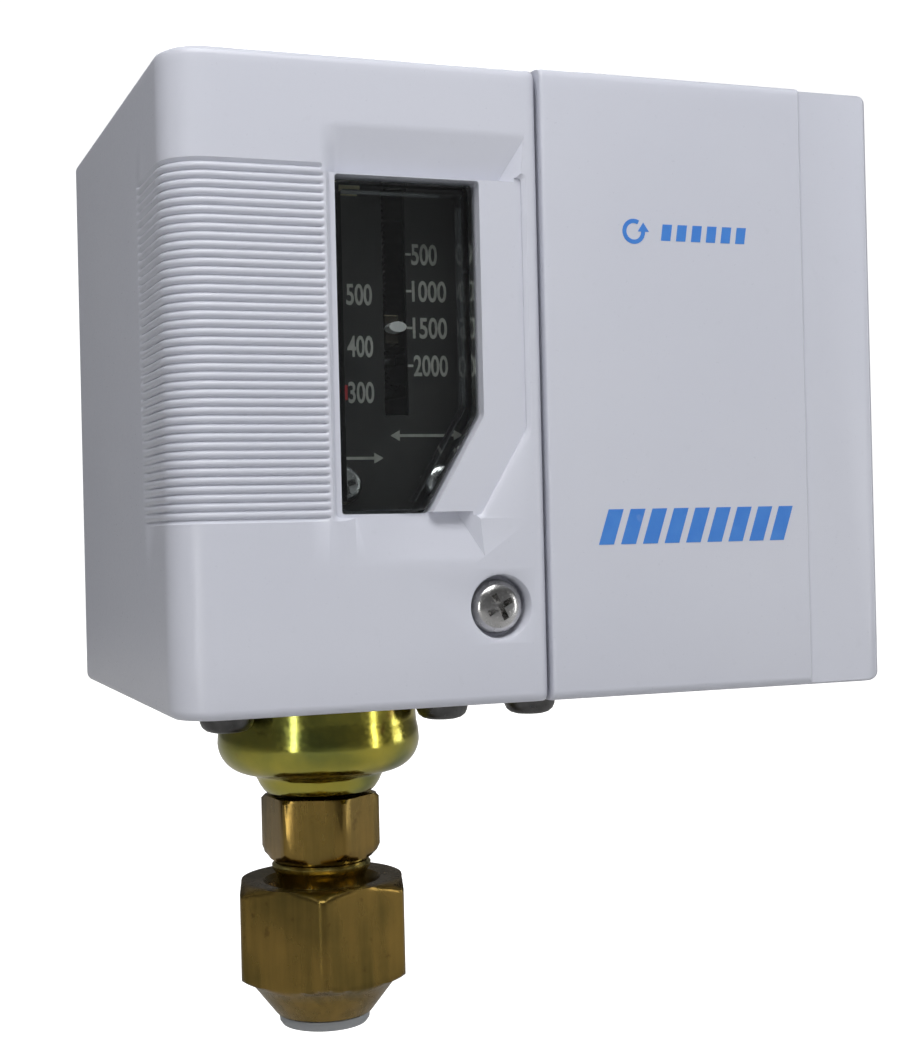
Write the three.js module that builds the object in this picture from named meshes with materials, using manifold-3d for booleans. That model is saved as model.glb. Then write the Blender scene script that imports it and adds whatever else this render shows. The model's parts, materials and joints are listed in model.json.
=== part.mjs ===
// A refrigeration pressure switch: a split moulded cover over a folded steel chassis that carries
// a bellows element with a flare connection, a range and a differential spring, two levers, a snap
// switch and a terminal block. Millimetres, +Z up, the front faces -Y.
//
// The pieces are drawn from the case's left, front, bottom corner: x runs to the right, y to the
// back and z up. The exported group then moves them so that the origin is the centre of the back
// mounting face.
import * as THREE from "three";
import { mergeVertices } from "three/addons/utils/BufferGeometryUtils.js";
import Module from "manifold-3d";

const wasm = await Module();
wasm.setup();

// ---------------------------------------------------------------- driving dimensions
const fitGap = 0.3; // between neighbouring pieces that touch on the real object
const holeGap = 0.25; // radial clearance round pins and screws

const caseSize = { width: 77.8, depth: 55.5, height: 64 };
const cover = {
  wall: 1.8,
  seam: 38.1, // where the two covers meet, from the left side
  cornerRadius: 4.4, // front left upright corner
  rightRadius: 2.4, // front right upright corner
  edgeRadius: 1.0, // front top and bottom edges
  topDrop: 0.3, // the window cover's top lies this far under the terminal cover's
  bottomLip: 3.2, // depth of the bottom wall; behind it the chassis closes the case
  stripWidth: 9.2, // stepped strip at the right end of the terminal cover
  stripStep: 0.35,
  backGap: 0.3,
};
const grip = { end: 15.3, sideEnd: 14.4, low: 18.9, high: 52.7, depth: 0.3 };
const opening = { left: 16.6, right: 31.6, low: 19.2, high: 52.2, slopeTop: 28.8, slopeEnd: 25.9 };
const pocket = {
  left: 15.4,
  right: 36.1,
  rampHigh: 56.5,
  rampLow: 14.8,
  rampDepth: 2.0,
  shelfDepth: 0.6,
  slopeTop: 27.4,
  slopeEnd: 31.0,
  bevel: 0.9, // how far the ramps stop short of the shelf's outer edge
};
const pad = { margin: 2.4, back: 3.6 }; // thickened wall behind the pocket
const pane = { front: 1.6, flange: 1.2, margin: 1.8 };

const sheet = 1.5; // chassis steel
const chassis = { sideGap: 0.3, flangeDrop: 6.0, backDrop: 2.5, frontEdge: 3.5, webFront: 10.4 };
const topFlange = caseSize.height - chassis.flangeDrop;
const web = { left: 3.4, low: 15.8, notchLeft: 20, notchHigh: 18.0 };
const ears = { thickness: 1.2, leverHalf: 3.8, diffHalf: 3.5, flangeGap: 1.1, pinBeyond: 0.8 };
const wallHole = { radius: 2.2, spacing: 50, fromBottom: 32 };

const bellows = { outer: 8.2, root: 6.6, low: -5.8, high: 9.6, folds: 7, capThickness: 1.2 };
const element = { x: 18.7, y: 18.0, bellowsGap: 1.3, cupWall: 0.9 };
const cupRadius = bellows.outer + element.bellowsGap + element.cupWall;
const elementFlange = { sideMargin: 3.6, frontMargin: 3.1, thickness: 1.2 };
const screwOffset = { x: cupRadius + 1.1, y: 7.0 };

const union = { hexFlats: 11.0, hexTop: -9.95, hexLow: -17.1, neck: 4.7, thread: 5.3, end: -27.4 };
const flareNut = {
  flats: 17.0,
  top: -19.0,
  low: -33.1,
  shoulder: -29.9,
  noseRadius: 5.1,
  throat: 3.2,
  threadLow: -28.2,
};
const plug = { flange: 4.8, thickness: 1.2, stem: 2.8, rise: 4.6 };
const nutTurn = 254; // degrees, where the flare nut's front corner points
const unionTurn = 277;

const lever = { low: 21.7, thickness: 1.2, width: 9.0, pivotX: 7.0, pivotZ: 19.4, end: 51.0 };
const earBack = element.y + cupRadius + elementFlange.frontMargin + ears.flangeGap + ears.thickness;
const pivotPin = { radius: 1.5, back: earBack + ears.pinBeyond };
const diffLever = { low: 27.2, thickness: 1.2, pivotX: 31.0, pivotZ: 24.9, studX: 42.0, width: 4.2 };
const diffPin = { radius: 1.2 };

const rangeScrew = { x: 25.2, y: 18.0, radius: 2.0, low: 30.6, head: 3.1 };
const rangeSeat = { z: 38.4, thickness: 3.0, radius: 4.6 };
const rangeSpring = { radius: 3.8, wire: 1.1, turns: 4.5 };
const diffScrew = { x: 14.9, y: 18.0, radius: 1.6, low: 34.0, head: 2.9 };
const diffSeat = { z: 41.0, thickness: 3.0, radius: 3.9, pointerZ: 31.7 };
const diffSpring = { radius: 3.1, wire: 0.8, turns: 5.5 };
const screwHead = { height: 1.8, slot: 0.8, slotDepth: 0.9 };

const scale = { front: 9.0, thickness: 0.8, left: 12.2, right: 32.6, low: 19.6, high: 54.4 };
const scaleScrews = { z: 22.3, left: 18.9, right: 29.3, radius: 1.25, head: 2.1 };
const rangeSlot = { left: 23.95, right: 26.45, low: 29.4, high: 52.6 };
const diffSlot = { left: 13.8, right: 16.0, low: 28.0, high: 53.0 };
const pointerTip = { front: 8.1, width: 1.9, height: 1.1 };

const coverScrew = { x: 32.8, z: 9.7, recess: 3.15, head: 2.75, headTop: 0.4, headHeight: 1.9 };
const coverThread = { radius: 1.5, seat: 2.6, bossEnd: 3.4, bossRadius: 5.0 };
const coverTravel = 3.8; // room for the captive ring behind the boss
const coverBracket = {
  left: 29.4,
  right: 43.8,
  post: 36.4,
  front: 13.4,
  sheet: 1.2,
  arm: 3.4,
  high: 13.4,
  screwX: 40.2,
};

const panHead = { radius: 2.75, height: 2.1, gap: 0.2 };
const m3 = 1.5;
const elementScrewY = 11.0;

const snapSwitch = { left: 45.5, length: 27.8, low: 26.5, height: 15.9, front: 12.9, depth: 10.3 };
const switchHole = { radius: 1.45, rise: 8.0, first: 2.7, pitch: 22.2 };
const button = { x: 48.4, radius: 1.2 };
const blockRoom = { topGap: 0.6, height: 11.6 }; // under the top flange
const blockHigh = topFlange - blockRoom.topGap;
const block = {
  left: 45.5,
  right: 73.5,
  front: 5.0,
  back: 20.0,
  low: blockHigh - blockRoom.height,
  high: blockHigh,
  pocketFloor: 9.2,
};
const poles = { count: 3, pitch: 9.3, screwRadius: 1.6, head: 2.7, barrier: 1.2 };
const switchPlate = {
  front: 23.6,
  left: 44.4,
  right: 74.2,
  thickness: 1.2,
  legLeft: 47,
  legRight: 60,
  step: 25,
};
const switchFoot = { back: 34.0, screwY: 30.0 };
const barrierSheet = { thickness: 0.4 };
const grommet = { x: 62, y: 43.4, radius: 7.4, hole: 3.6, groove: 6.2, rise: 2.0, drop: 2.0 };
const earth = { x: 67, y: 13, head: 2.8, height: 1.8, washer: 3.6 };

const round = 24; // sides of a drawn circle
const small = 12; // sides of a small one

// ---------------------------------------------------------------- finishes
const finish = (color, roughness, metalness) =>
  new THREE.MeshStandardMaterial({ color, roughness, metalness });
const finishes = {
  coverPlastic: finish(0xd3d4dc, 0.4, 0),
  clear: finish(0xdfe8ea, 0.05, 0),
  zinc: finish(0xb5b8bb, 0.35, 1),
  passivated: finish(0xb9a552, 0.3, 1),
  brass: finish(0xa98b45, 0.3, 1),
  bronze: finish(0xb08a4e, 0.35, 1),
  springSteel: finish(0x8d8f92, 0.35, 1),
  dial: finish(0x2b2a2a, 0.5, 0),
  bakelite: finish(0x1d1c1b, 0.45, 0),
  whitePlastic: finish(0xf0f0ec, 0.45, 0),
  redPlastic: finish(0xc8242c, 0.45, 0),
  greyPlastic: finish(0x8f918b, 0.5, 0),
  rubber: finish(0x202020, 0.8, 0),
  fibre: finish(0x8d8778, 0.8, 0),
  earthGreen: finish(0x3f8f4f, 0.4, 1),
};

// ---------------------------------------------------------------- shapes
const tau = 2 * Math.PI;
const degrees = (a) => (a * Math.PI) / 180;

// A three.js geometry as a manifold-3d solid.
function solid(geometry) {
  const bare = geometry.index ? geometry.toNonIndexed() : geometry.clone();
  bare.deleteAttribute("normal");
  bare.deleteAttribute("uv");
  const merged = mergeVertices(bare, 1e-4);
  return new wasm.Manifold(
    new wasm.Mesh({
      numProp: 3,
      vertProperties: merged.attributes.position.array,
      triVerts: new Uint32Array(merged.index.array),
    }),
  );
}

// A solid back as a three.js geometry.
function geometryOf(body) {
  const m = body.getMesh();
  const points = new Float32Array(m.numVert * 3);
  for (let i = 0; i < m.numVert; i++) {
    points.set(m.vertProperties.subarray(i * m.numProp, i * m.numProp + 3), i * 3);
  }
  return new THREE.BufferGeometry()
    .setAttribute("position", new THREE.BufferAttribute(points, 3))
    .setIndex(new THREE.BufferAttribute(new Uint32Array(m.triVerts), 1));
}

const join = (first, ...others) => others.reduce((sum, one) => sum.add(one), first);
const cut = (first, ...others) => others.reduce((rest, one) => rest.subtract(one), first);

function box(x0, x1, y0, y1, z0, z1) {
  const g = new THREE.BoxGeometry(x1 - x0, y1 - y0, z1 - z0);
  return solid(g.translate((x0 + x1) / 2, (y0 + y1) / 2, (z0 + z1) / 2));
}

function outline(points) {
  return new THREE.Shape(points.map(([a, b]) => new THREE.Vector2(a, b)));
}

// An outline drawn in plan (x, y), raised from z0 to z1.
function plan(shape, z0, z1) {
  const g = new THREE.ExtrudeGeometry(shape, { depth: z1 - z0, bevelEnabled: false, curveSegments: 6 });
  return solid(g.translate(0, 0, z0));
}

// An outline drawn from the front (x, z), running back from y0 to y1.
function front(shape, y0, y1) {
  const g = new THREE.ExtrudeGeometry(shape, { depth: y1 - y0, bevelEnabled: false, curveSegments: 6 });
  return solid(g.rotateX(Math.PI / 2).translate(0, y1, 0));
}

// An outline drawn from the right (y, z), running across from x0 to x1.
function side(shape, x0, x1) {
  const g = new THREE.ExtrudeGeometry(shape, { depth: x1 - x0, bevelEnabled: false, curveSegments: 6 });
  return solid(g.rotateX(Math.PI / 2).rotateZ(Math.PI / 2).translate(x0, 0, 0));
}

// A profile of [radius, height] points turned about the upright line through (x, y). It starts and
// ends on the axis, or its last point is its first, and it climbs on the outside.
function turned(profile, x, y, sides = round) {
  const points = profile.map(([r, z]) => new THREE.Vector2(r, z));
  return solid(new THREE.LatheGeometry(points, sides).rotateX(Math.PI / 2).translate(x, y, 0));
}

function post(x, y, radius, z0, z1, sides = small) {
  return turned([[0, z0], [radius, z0], [radius, z1], [0, z1]], x, y, sides);
}

// A round bar that runs from front to back.
function bar(x, z, radius, y0, y1, sides = small) {
  const g = new THREE.CylinderGeometry(radius, radius, y1 - y0, sides);
  return solid(g.translate(x, (y0 + y1) / 2, z));
}

// A six-sided prism whose first corner points along turn, in degrees from +X.
function hexagon(x, y, flats, turn, z0, z1) {
  const reach = flats / Math.sqrt(3);
  const corners = [...Array(6).keys()].map((k) => {
    const a = degrees(turn) + (k * tau) / 6;
    return [x + reach * Math.cos(a), y + reach * Math.sin(a)];
  });
  return plan(outline(corners), z0, z1);
}

class Helix extends THREE.Curve {
  constructor(x, y, radius, z0, z1, turns) {
    super();
    Object.assign(this, { x, y, radius, z0, z1, turns });
  }
  getPoint(t, target = new THREE.Vector3()) {
    const a = t * this.turns * tau;
    const z = this.z0 + t * (this.z1 - this.z0);
    return target.set(this.x + this.radius * Math.cos(a), this.y + this.radius * Math.sin(a), z);
  }
}

function coil(x, y, radius, wire, z0, z1, turns) {
  const section = new THREE.Shape().absarc(0, 0, wire / 2, 0, tau, false);
  const path = new Helix(x, y, radius, z0 + wire / 2, z1 - wire / 2, turns);
  const steps = Math.round(turns * 12);
  return solid(new THREE.ExtrudeGeometry(section, { extrudePath: path, steps, curveSegments: 3 }));
}

const group = new THREE.Group();
function add(name, body, material) {
  const mesh = new THREE.Mesh(geometryOf(body), material);
  mesh.name = name;
  group.add(mesh);
}

// ---------------------------------------------------------------- covers
const coverBack = caseSize.depth - cover.backGap;
const windowRight = cover.seam - fitGap / 2;
const terminalLeft = cover.seam + fitGap / 2;
const windowTop = caseSize.height - cover.topDrop;

// The plan of the window cover, drawn in by inset from its left and front.
function windowPlan(inset, right, back) {
  const r = cover.cornerRadius - inset;
  const s = new THREE.Shape().moveTo(inset, back);
  s.lineTo(inset, inset + r);
  s.absarc(inset + r, inset + r, r, Math.PI, 1.5 * Math.PI, false);
  s.lineTo(right, inset);
  s.lineTo(right, back);
  return s;
}

// The side of a cover: square at the back, rounded along its front top and bottom edges.
function coverSide(top) {
  const r = cover.edgeRadius;
  const s = new THREE.Shape().moveTo(coverBack, 0).lineTo(coverBack, top).lineTo(r, top);
  s.absarc(r, top - r, r, Math.PI / 2, Math.PI, false);
  s.lineTo(0, r);
  s.absarc(r, r, r, Math.PI, 1.5 * Math.PI, false);
  return s;
}

const openingOutline = (grow) =>
  outline([
    [opening.left - grow, opening.low - grow],
    [opening.slopeEnd + grow * 0.55, opening.low - grow],
    [opening.right + grow, opening.slopeTop - grow * 0.3],
    [opening.right + grow, opening.high + grow],
    [opening.left - grow, opening.high + grow],
  ]);

function buildWindowCover() {
  const past = 5; // cutting shapes run past the faces they open
  const outer = plan(windowPlan(0, windowRight, coverBack + past), 0, windowTop).intersect(
    side(coverSide(windowTop), -past, windowRight + past),
  );
  const hollow = windowPlan(cover.wall, windowRight + past, coverBack + past);
  const cavity = plan(hollow, cover.wall, windowTop - cover.wall);
  const floor = box(cover.wall, windowRight + past, cover.bottomLip, coverBack + past, -past, cover.wall + 1);
  const thick = box(
    pocket.left - pad.margin,
    windowRight,
    cover.wall - 0.1,
    pad.back,
    pocket.rampLow - 1,
    pocket.rampHigh + 1,
  );
  const boss = bar(coverScrew.x, coverScrew.z, coverThread.bossRadius, cover.wall - 0.1, coverThread.bossEnd);
  const mouth = pocket.rampDepth;
  const upperRamp = side(
    outline([[0, pocket.rampHigh], [-1, pocket.rampHigh], [-1, grip.high], [mouth, grip.high]]),
    pocket.left,
    pocket.right - pocket.bevel,
  );
  const lowerRamp = side(
    outline([[0, pocket.rampLow], [mouth, grip.low], [-1, grip.low], [-1, pocket.rampLow]]),
    pocket.left,
    pocket.slopeEnd - pocket.bevel,
  );
  const shelf = front(
    outline([
      [opening.left, grip.low],
      [pocket.slopeEnd, grip.low],
      [pocket.right, pocket.slopeTop],
      [pocket.right, grip.high],
      [opening.left, grip.high],
    ]),
    -1,
    pocket.shelfDepth,
  );
  const band = box(-1, grip.end, -1, grip.sideEnd, grip.low, grip.high).subtract(
    plan(windowPlan(grip.depth, windowRight, coverBack), grip.low - 1, grip.high + 1),
  );
  const adjusters = [rangeScrew, diffScrew].map((screw) =>
    post(screw.x, screw.y, screw.head + 0.5, windowTop - past, windowTop + past, round),
  );
  const recess = bar(coverScrew.x, coverScrew.z, coverScrew.recess, -1, coverThread.seat, round);
  const through = bar(coverScrew.x, coverScrew.z, coverThread.radius + holeGap, 0, past);
  return cut(
    join(cut(outer, cavity, floor), thick, boss),
    upperRamp,
    lowerRamp,
    shelf,
    band,
    front(openingOutline(0), -1, past),
    recess,
    through,
    ...adjusters,
  );
}

function buildPane() {
  const raised = front(openingOutline(-fitGap), pane.front, pad.back + fitGap + 0.1);
  const flange = front(openingOutline(pane.margin), pad.back + fitGap, pad.back + fitGap + pane.flange);
  return raised.add(flange);
}

function terminalPlan(inset) {
  const r = cover.rightRadius - inset;
  const right = caseSize.width - inset;
  const s = new THREE.Shape().moveTo(terminalLeft - inset, inset).lineTo(right - r, inset);
  s.absarc(right - r, inset + r, r, 1.5 * Math.PI, tau, false);
  s.lineTo(right, coverBack + inset);
  s.lineTo(terminalLeft - inset, coverBack + inset);
  return s;
}

function buildTerminalCover() {
  const past = 5;
  const top = caseSize.height;
  const rounded = side(coverSide(top), terminalLeft, caseSize.width + past);
  const outer = plan(terminalPlan(0), 0, top).intersect(rounded);
  const cavity = plan(terminalPlan(cover.wall), cover.wall, top - cover.wall);
  const right = caseSize.width - cover.wall;
  const floor = box(terminalLeft - past, right, cover.bottomLip, coverBack + past, -past, cover.wall + 1);
  const stripLeft = caseSize.width - cover.stripWidth;
  const stripTop = top - cover.stripStep;
  const strip = box(stripLeft, caseSize.width + past, -past, coverBack + past, stripTop, top + past);
  const stripFront = box(stripLeft, caseSize.width + past, -past, cover.stripStep, -past, top + past);
  return cut(outer, cavity, floor, strip, stripFront);
}

// ---------------------------------------------------------------- chassis
const bottomFlangeTop = sheet;
const onFloor = bottomFlangeTop + fitGap; // where pieces on the bottom flange stand
const flangeLeft = cover.wall + chassis.sideGap;
const flangeRight = caseSize.width - cover.wall - chassis.sideGap;
const webBack = chassis.webFront + sheet;
const elementScrewPoints = [-1, 1].flatMap((sy) =>
  [-1, 1].map((sx) => [element.x + sx * screwOffset.x, element.y + sy * screwOffset.y]),
);
const switchScrewPoints = [switchPlate.legLeft + 2.5, switchPlate.legRight - 2.5].map((x) => [
  x,
  switchFoot.screwY,
]);
const bracketScrewPoint = [coverBracket.screwX, elementScrewY];

function buildChassis() {
  const backTop = caseSize.height - chassis.backDrop;
  const back = box(flangeLeft, flangeRight, caseSize.depth - sheet, caseSize.depth, 0, backTop);
  const bottom = box(flangeLeft, flangeRight, chassis.frontEdge, caseSize.depth - 0.1, 0, sheet);
  const topEdge = topFlange + sheet;
  const nearBack = caseSize.depth - 0.1;
  const top = box(flangeLeft, flangeRight, chassis.webFront, nearBack, topFlange, topEdge);
  const wall = box(web.left, windowRight - 2, chassis.webFront, webBack, web.low, topEdge);
  const ear = (x, half, high) => box(x - half, x + half, earBack - ears.thickness, earBack, 0.1, high);
  const leverEar = ear(lever.pivotX + 0.2, ears.leverHalf, lever.low);
  const diffEar = ear(diffLever.pivotX, ears.diffHalf, diffLever.pivotZ + ears.diffHalf);
  const low = diffSlot.low - 1;
  const high = rangeSlot.high + 1;
  const pointers = box(diffSlot.left - 1, rangeSlot.right + 1, 0, webBack + 1, low, high);
  const webNotch = box(web.notchLeft, cover.seam + 2, 0, webBack + 1, web.low - 1, web.notchHigh);
  const drilled = [
    post(element.x, element.y, cupRadius + fitGap, -1, sheet + 1, round),
    ...[...elementScrewPoints, bracketScrewPoint, ...switchScrewPoints].map(([x, y]) =>
      post(x, y, m3 + holeGap, -1, sheet + 1),
    ),
    ...[rangeScrew, diffScrew].map((s) =>
      post(s.x, s.y, s.radius + holeGap, topFlange - 1, topEdge + 1),
    ),
    post(grommet.x, grommet.y, grommet.groove + holeGap, -1, sheet + 1, round),
    post(earth.x, earth.y, m3 + holeGap, -1, sheet + 1),
    bar(lever.pivotX, lever.pivotZ, pivotPin.radius + holeGap, 0, pivotPin.back),
    bar(diffLever.pivotX, diffLever.pivotZ, diffPin.radius + holeGap, 0, pivotPin.back),
    ...[scaleScrews.left, scaleScrews.right].map((x) =>
      bar(x, scaleScrews.z, scaleScrews.radius + holeGap, 0, webBack + 1),
    ),
    ...[-1, 1].map((s) =>
      bar(
        (caseSize.width + s * wallHole.spacing) / 2,
        wallHole.fromBottom,
        wallHole.radius,
        caseSize.depth - 3,
        caseSize.depth + 1,
      ),
    ),
  ];
  return cut(join(back, bottom, top, wall, leverEar, diffEar), pointers, webNotch, ...drilled);
}

function buildCoverBracket() {
  const { left, right, post: postLeft, front: face, sheet: gauge, arm, high } = coverBracket;
  const upright = front(
    outline([
      [postLeft, onFloor],
      [right, onFloor],
      [right, high],
      [left, high],
      [left, coverScrew.z - arm],
      [postLeft, coverScrew.z - arm],
    ]),
    face,
    face + gauge,
  );
  const foot = box(postLeft, right, elementScrewY - arm, face + gauge, onFloor, onFloor + gauge);
  return cut(
    upright.add(foot),
    bar(coverScrew.x, coverScrew.z, coverThread.radius + holeGap, face - 1, face + 5),
    post(...bracketScrewPoint, m3 + holeGap, 0, onFloor + 2),
  );
}

// A pan-head screw whose head hangs under the bottom flange.
function floorScrew([x, y], length) {
  const top = -panHead.gap;
  const low = top - panHead.height;
  const r = panHead.radius;
  return turned(
    [
      [0, low],
      [r * 0.55, low],
      [r * 0.86, low + 0.45],
      [r, low + 1.1],
      [r, top],
      [m3, top],
      [m3, length],
      [0, length],
    ],
    x,
    y,
  );
}

// ---------------------------------------------------------------- pressure element
function buildCup() {
  const r = cupRadius;
  const w = element.cupWall;
  const rim = onFloor + elementFlange.thickness;
  return turned(
    [
      [2.2, -9.7],
      [5.9, -9.7],
      [r - 3.6, -7.7],
      [r - 2.1, -7.5],
      [r - 0.8, -6.6],
      [r, -5.2],
      [r, -4.0],
      [r, rim],
      [r - w, rim],
      [r - w, -4.9],
      [r - 1.5, -6.1],
      [r - 2.5, -6.7],
      [2.2, -6.9],
      [2.2, -9.7],
    ],
    element.x,
    element.y,
  );
}

function buildElementFlange() {
  const halfWidth = cupRadius + elementFlange.sideMargin;
  const halfDepth = cupRadius + elementFlange.frontMargin;
  const { thickness } = elementFlange;
  const plate = box(
    element.x - halfWidth,
    element.x + halfWidth,
    element.y - halfDepth,
    element.y + halfDepth,
    onFloor,
    onFloor + thickness,
  );
  return cut(
    plate,
    post(element.x, element.y, cupRadius + fitGap, 0, onFloor + 3, round),
    ...elementScrewPoints.map(([x, y]) => post(x, y, m3 + holeGap, 0, onFloor + 3)),
  );
}

function buildBellows() {
  const { outer, root, low, high, folds } = bellows;
  const pitch = (high - low) / folds;
  const profile = [[0, low], [root, low]];
  for (let k = 0; k < folds; k++) {
    const z = low + k * pitch;
    profile.push([outer, z + pitch * 0.35], [outer, z + pitch * 0.65], [root, z + pitch]);
  }
  return turned([...profile, [0, high]], element.x, element.y, 20);
}

const pushRod = { foot: 2.6, radius: 1.8, tip: 1.0 };
const capLow = bellows.high + fitGap;
const capHigh = capLow + bellows.capThickness;

function buildPushRod() {
  const tip = lever.low - fitGap;
  return turned(
    [
      [0, capHigh + fitGap],
      [pushRod.foot, capHigh + fitGap],
      [pushRod.foot, tip - 5],
      [pushRod.radius, tip - 4],
      [pushRod.radius, tip - 0.8],
      [pushRod.tip, tip],
      [0, tip],
    ],
    element.x,
    element.y,
    small,
  );
}

function buildUnion() {
  const { hexFlats, hexTop, hexLow, neck, thread, end } = union;
  const corner = hexFlats / Math.sqrt(3);
  const bored = 1.6;
  const hex = hexagon(element.x, element.y, hexFlats, unionTurn, hexLow, hexTop).intersect(
    turned(
      [
        [0, hexLow],
        [corner - 1.4, hexLow],
        [corner + 0.05, hexLow + 1.5],
        [corner + 0.05, hexTop],
        [0, hexTop],
      ],
      element.x,
      element.y,
    ),
  );
  const stem = turned(
    [
      [0, end],
      [bored + 1.0, end],
      [thread - 0.6, end + 2.0],
      [thread, end + 2.6],
      [thread, flareNut.top - 1.6],
      [neck, flareNut.top - 1.0],
      [neck, flareNut.top + 0.6],
      [neck + 0.4, hexLow + 0.2],
      [0, hexLow + 0.2],
    ],
    element.x,
    element.y,
  );
  return cut(hex.add(stem), post(element.x, element.y, bored, end - 1, hexTop + 1));
}

function buildFlareNut() {
  const { flats, top, low, shoulder, noseRadius, throat, threadLow } = flareNut;
  const corner = flats / Math.sqrt(3);
  const bore = union.thread + fitGap;
  const hex = hexagon(element.x, element.y, flats, nutTurn, low, top);
  const envelope = turned(
    [
      [0, low],
      [noseRadius, low],
      [7.6, shoulder],
      [corner + 0.1, shoulder + 1.2],
      [corner + 0.1, top - 0.9],
      [flats / 2 - 0.3, top],
      [0, top],
    ],
    element.x,
    element.y,
    36,
  );
  const inside = turned(
    [
      [0, low - 1],
      [throat, low - 1],
      [throat, threadLow - 1.4],
      [bore, threadLow + 0.9],
      [bore, top + 1],
      [0, top + 1],
    ],
    element.x,
    element.y,
  );
  return hex.intersect(envelope).subtract(inside);
}

function buildPlug() {
  const { flange, thickness, stem, rise } = plug;
  const top = flareNut.low - fitGap * 0.5;
  return turned(
    [
      [0, top - thickness],
      [flange - 0.5, top - thickness],
      [flange, top - thickness + 0.4],
      [flange, top],
      [stem, top],
      [stem, top + rise],
      [0, top + rise],
    ],
    element.x,
    element.y,
  );
}

// ---------------------------------------------------------------- levers
const leverFront = element.y - lever.width / 2;
const leverBack = element.y + lever.width / 2;
const leverTop = lever.low + lever.thickness;
const studTop = diffLever.low - fitGap;

function buildMainLever() {
  const plate = box(3.6, lever.end, leverFront, leverBack, lever.low, leverTop);
  const ears = [leverFront, leverBack - 1.2].map((y) =>
    box(3.6, 10.6, y, y + 1.2, lever.pivotZ - 3.2, lever.low + 0.1),
  );
  const stud = post(diffLever.studX, element.y, 1.6, leverTop - 0.1, studTop);
  const hole = bar(lever.pivotX, lever.pivotZ, pivotPin.radius + holeGap, 0, pivotPin.back);
  return cut(join(plate, ...ears, stud), hole);
}

function buildDiffLever() {
  const armFront = leverBack + 1.2;
  const back = armFront + diffLever.width;
  const z0 = diffLever.low;
  const z1 = z0 + diffLever.thickness;
  const fingerFront = element.y - 2.2;
  const arm = box(diffScrew.x - 2.2, diffLever.studX + 1.8, armFront, back, z0, z1);
  const springFinger = box(diffScrew.x - 2.2, diffScrew.x + 2.2, fingerFront, armFront + 0.1, z0, z1);
  const studFinger = box(diffLever.studX - 1.8, diffLever.studX + 1.8, fingerFront, armFront + 0.1, z0, z1);
  const ears = [armFront, back - 1.2].map((y) =>
    box(diffLever.pivotX - 2.6, diffLever.pivotX + 2.6, y, y + 1.2, diffLever.pivotZ - 2.4, z0 + 0.1),
  );
  const hole = bar(diffLever.pivotX, diffLever.pivotZ, diffPin.radius + holeGap, 0, pivotPin.back);
  return cut(join(arm, springFinger, studFinger, ...ears), hole);
}

// ---------------------------------------------------------------- springs and adjusters
function buildAdjuster({ x, y, radius, low, head }) {
  const seat = topFlange + sheet + fitGap;
  const top = seat + screwHead.height;
  const body = turned([[0, low], [radius, low], [radius, seat], [head, seat], [head, top], [0, top]], x, y);
  const half = screwHead.slot / 2;
  const slot = box(x - head - 1, x + head + 1, y - half, y + half, top - screwHead.slotDepth, top + 1);
  return body.subtract(slot);
}

// The threaded seat of a spring, with an arm that carries the pointer through the scale's slot.
function buildSeat(seat, screw, pointerX, armZ) {
  const low = seat.z - seat.thickness / 2;
  const high = seat.z + seat.thickness / 2;
  const r = seat.radius;
  const disc = turned([[0, low], [r, low], [r, high], [0, high]], screw.x, screw.y);
  const armBack = screw.y - r + 1;
  const armFront = scale.front + scale.thickness + fitGap;
  const arm = box(pointerX - 0.8, pointerX + 0.8, armFront, armBack, low, high);
  const drop = box(pointerX - 0.8, pointerX + 0.8, armFront, armFront + 1.2, Math.min(armZ, low), high);
  return cut(join(disc, arm, drop), post(screw.x, screw.y, screw.radius + holeGap, low - 1, high + 1));
}

function buildPointer(x, z) {
  const { front: tip, width, height } = pointerTip;
  const rounded = new THREE.Shape().absellipse(x, z, width / 2, height / 2, 0, tau, false);
  return front(rounded, tip, scale.front + scale.thickness);
}

function buildScale() {
  const { front: face, thickness, left, right, low, high } = scale;
  const slots = [rangeSlot, diffSlot].map((s) =>
    box(s.left, s.right, face - 1, face + thickness + 1, s.low, s.high),
  );
  const holes = [scaleScrews.left, scaleScrews.right].map((x) =>
    bar(x, scaleScrews.z, scaleScrews.radius + holeGap, face - 1, face + thickness + 1),
  );
  return cut(box(left, right, face, face + thickness, low, high), ...slots, ...holes);
}

// A pan-head screw that faces the front: the head's back sits at y, the shank runs on to end.
function faceScrew(x, z, head, headHeight, shank, y, end) {
  const profile = [
    [0, -end],
    [shank, -end],
    [shank, -y],
    [head, -y],
    [head, -y + headHeight * 0.55],
    [head * 0.7, -y + headHeight],
    [0, -y + headHeight],
  ];
  const points = profile.map(([r, h]) => new THREE.Vector2(r, h));
  const g = new THREE.LatheGeometry(points, small).rotateX(Math.PI).translate(x, 0, z);
  const slots = [
    box(x - head * 0.6, x + head * 0.6, y - headHeight - 1, y - headHeight + 0.9, z - 0.35, z + 0.35),
    box(x - 0.35, x + 0.35, y - headHeight - 1, y - headHeight + 0.9, z - head * 0.6, z + head * 0.6),
  ];
  return cut(solid(g), ...slots);
}

// ---------------------------------------------------------------- switch and terminals
const switchBack = snapSwitch.front + snapSwitch.depth;
const switchTop = snapSwitch.low + snapSwitch.height;
const switchHoles = [0, 1].map(
  (k) => snapSwitch.left + snapSwitch.length - switchHole.first - k * switchHole.pitch,
);
const switchHoleZ = snapSwitch.low + switchHole.rise;
const poleX = [...Array(poles.count).keys()].map(
  (k) => (block.left + block.right) / 2 + (k - (poles.count - 1) / 2) * poles.pitch,
);
const poleZ = (block.low + block.high) / 2;

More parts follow.
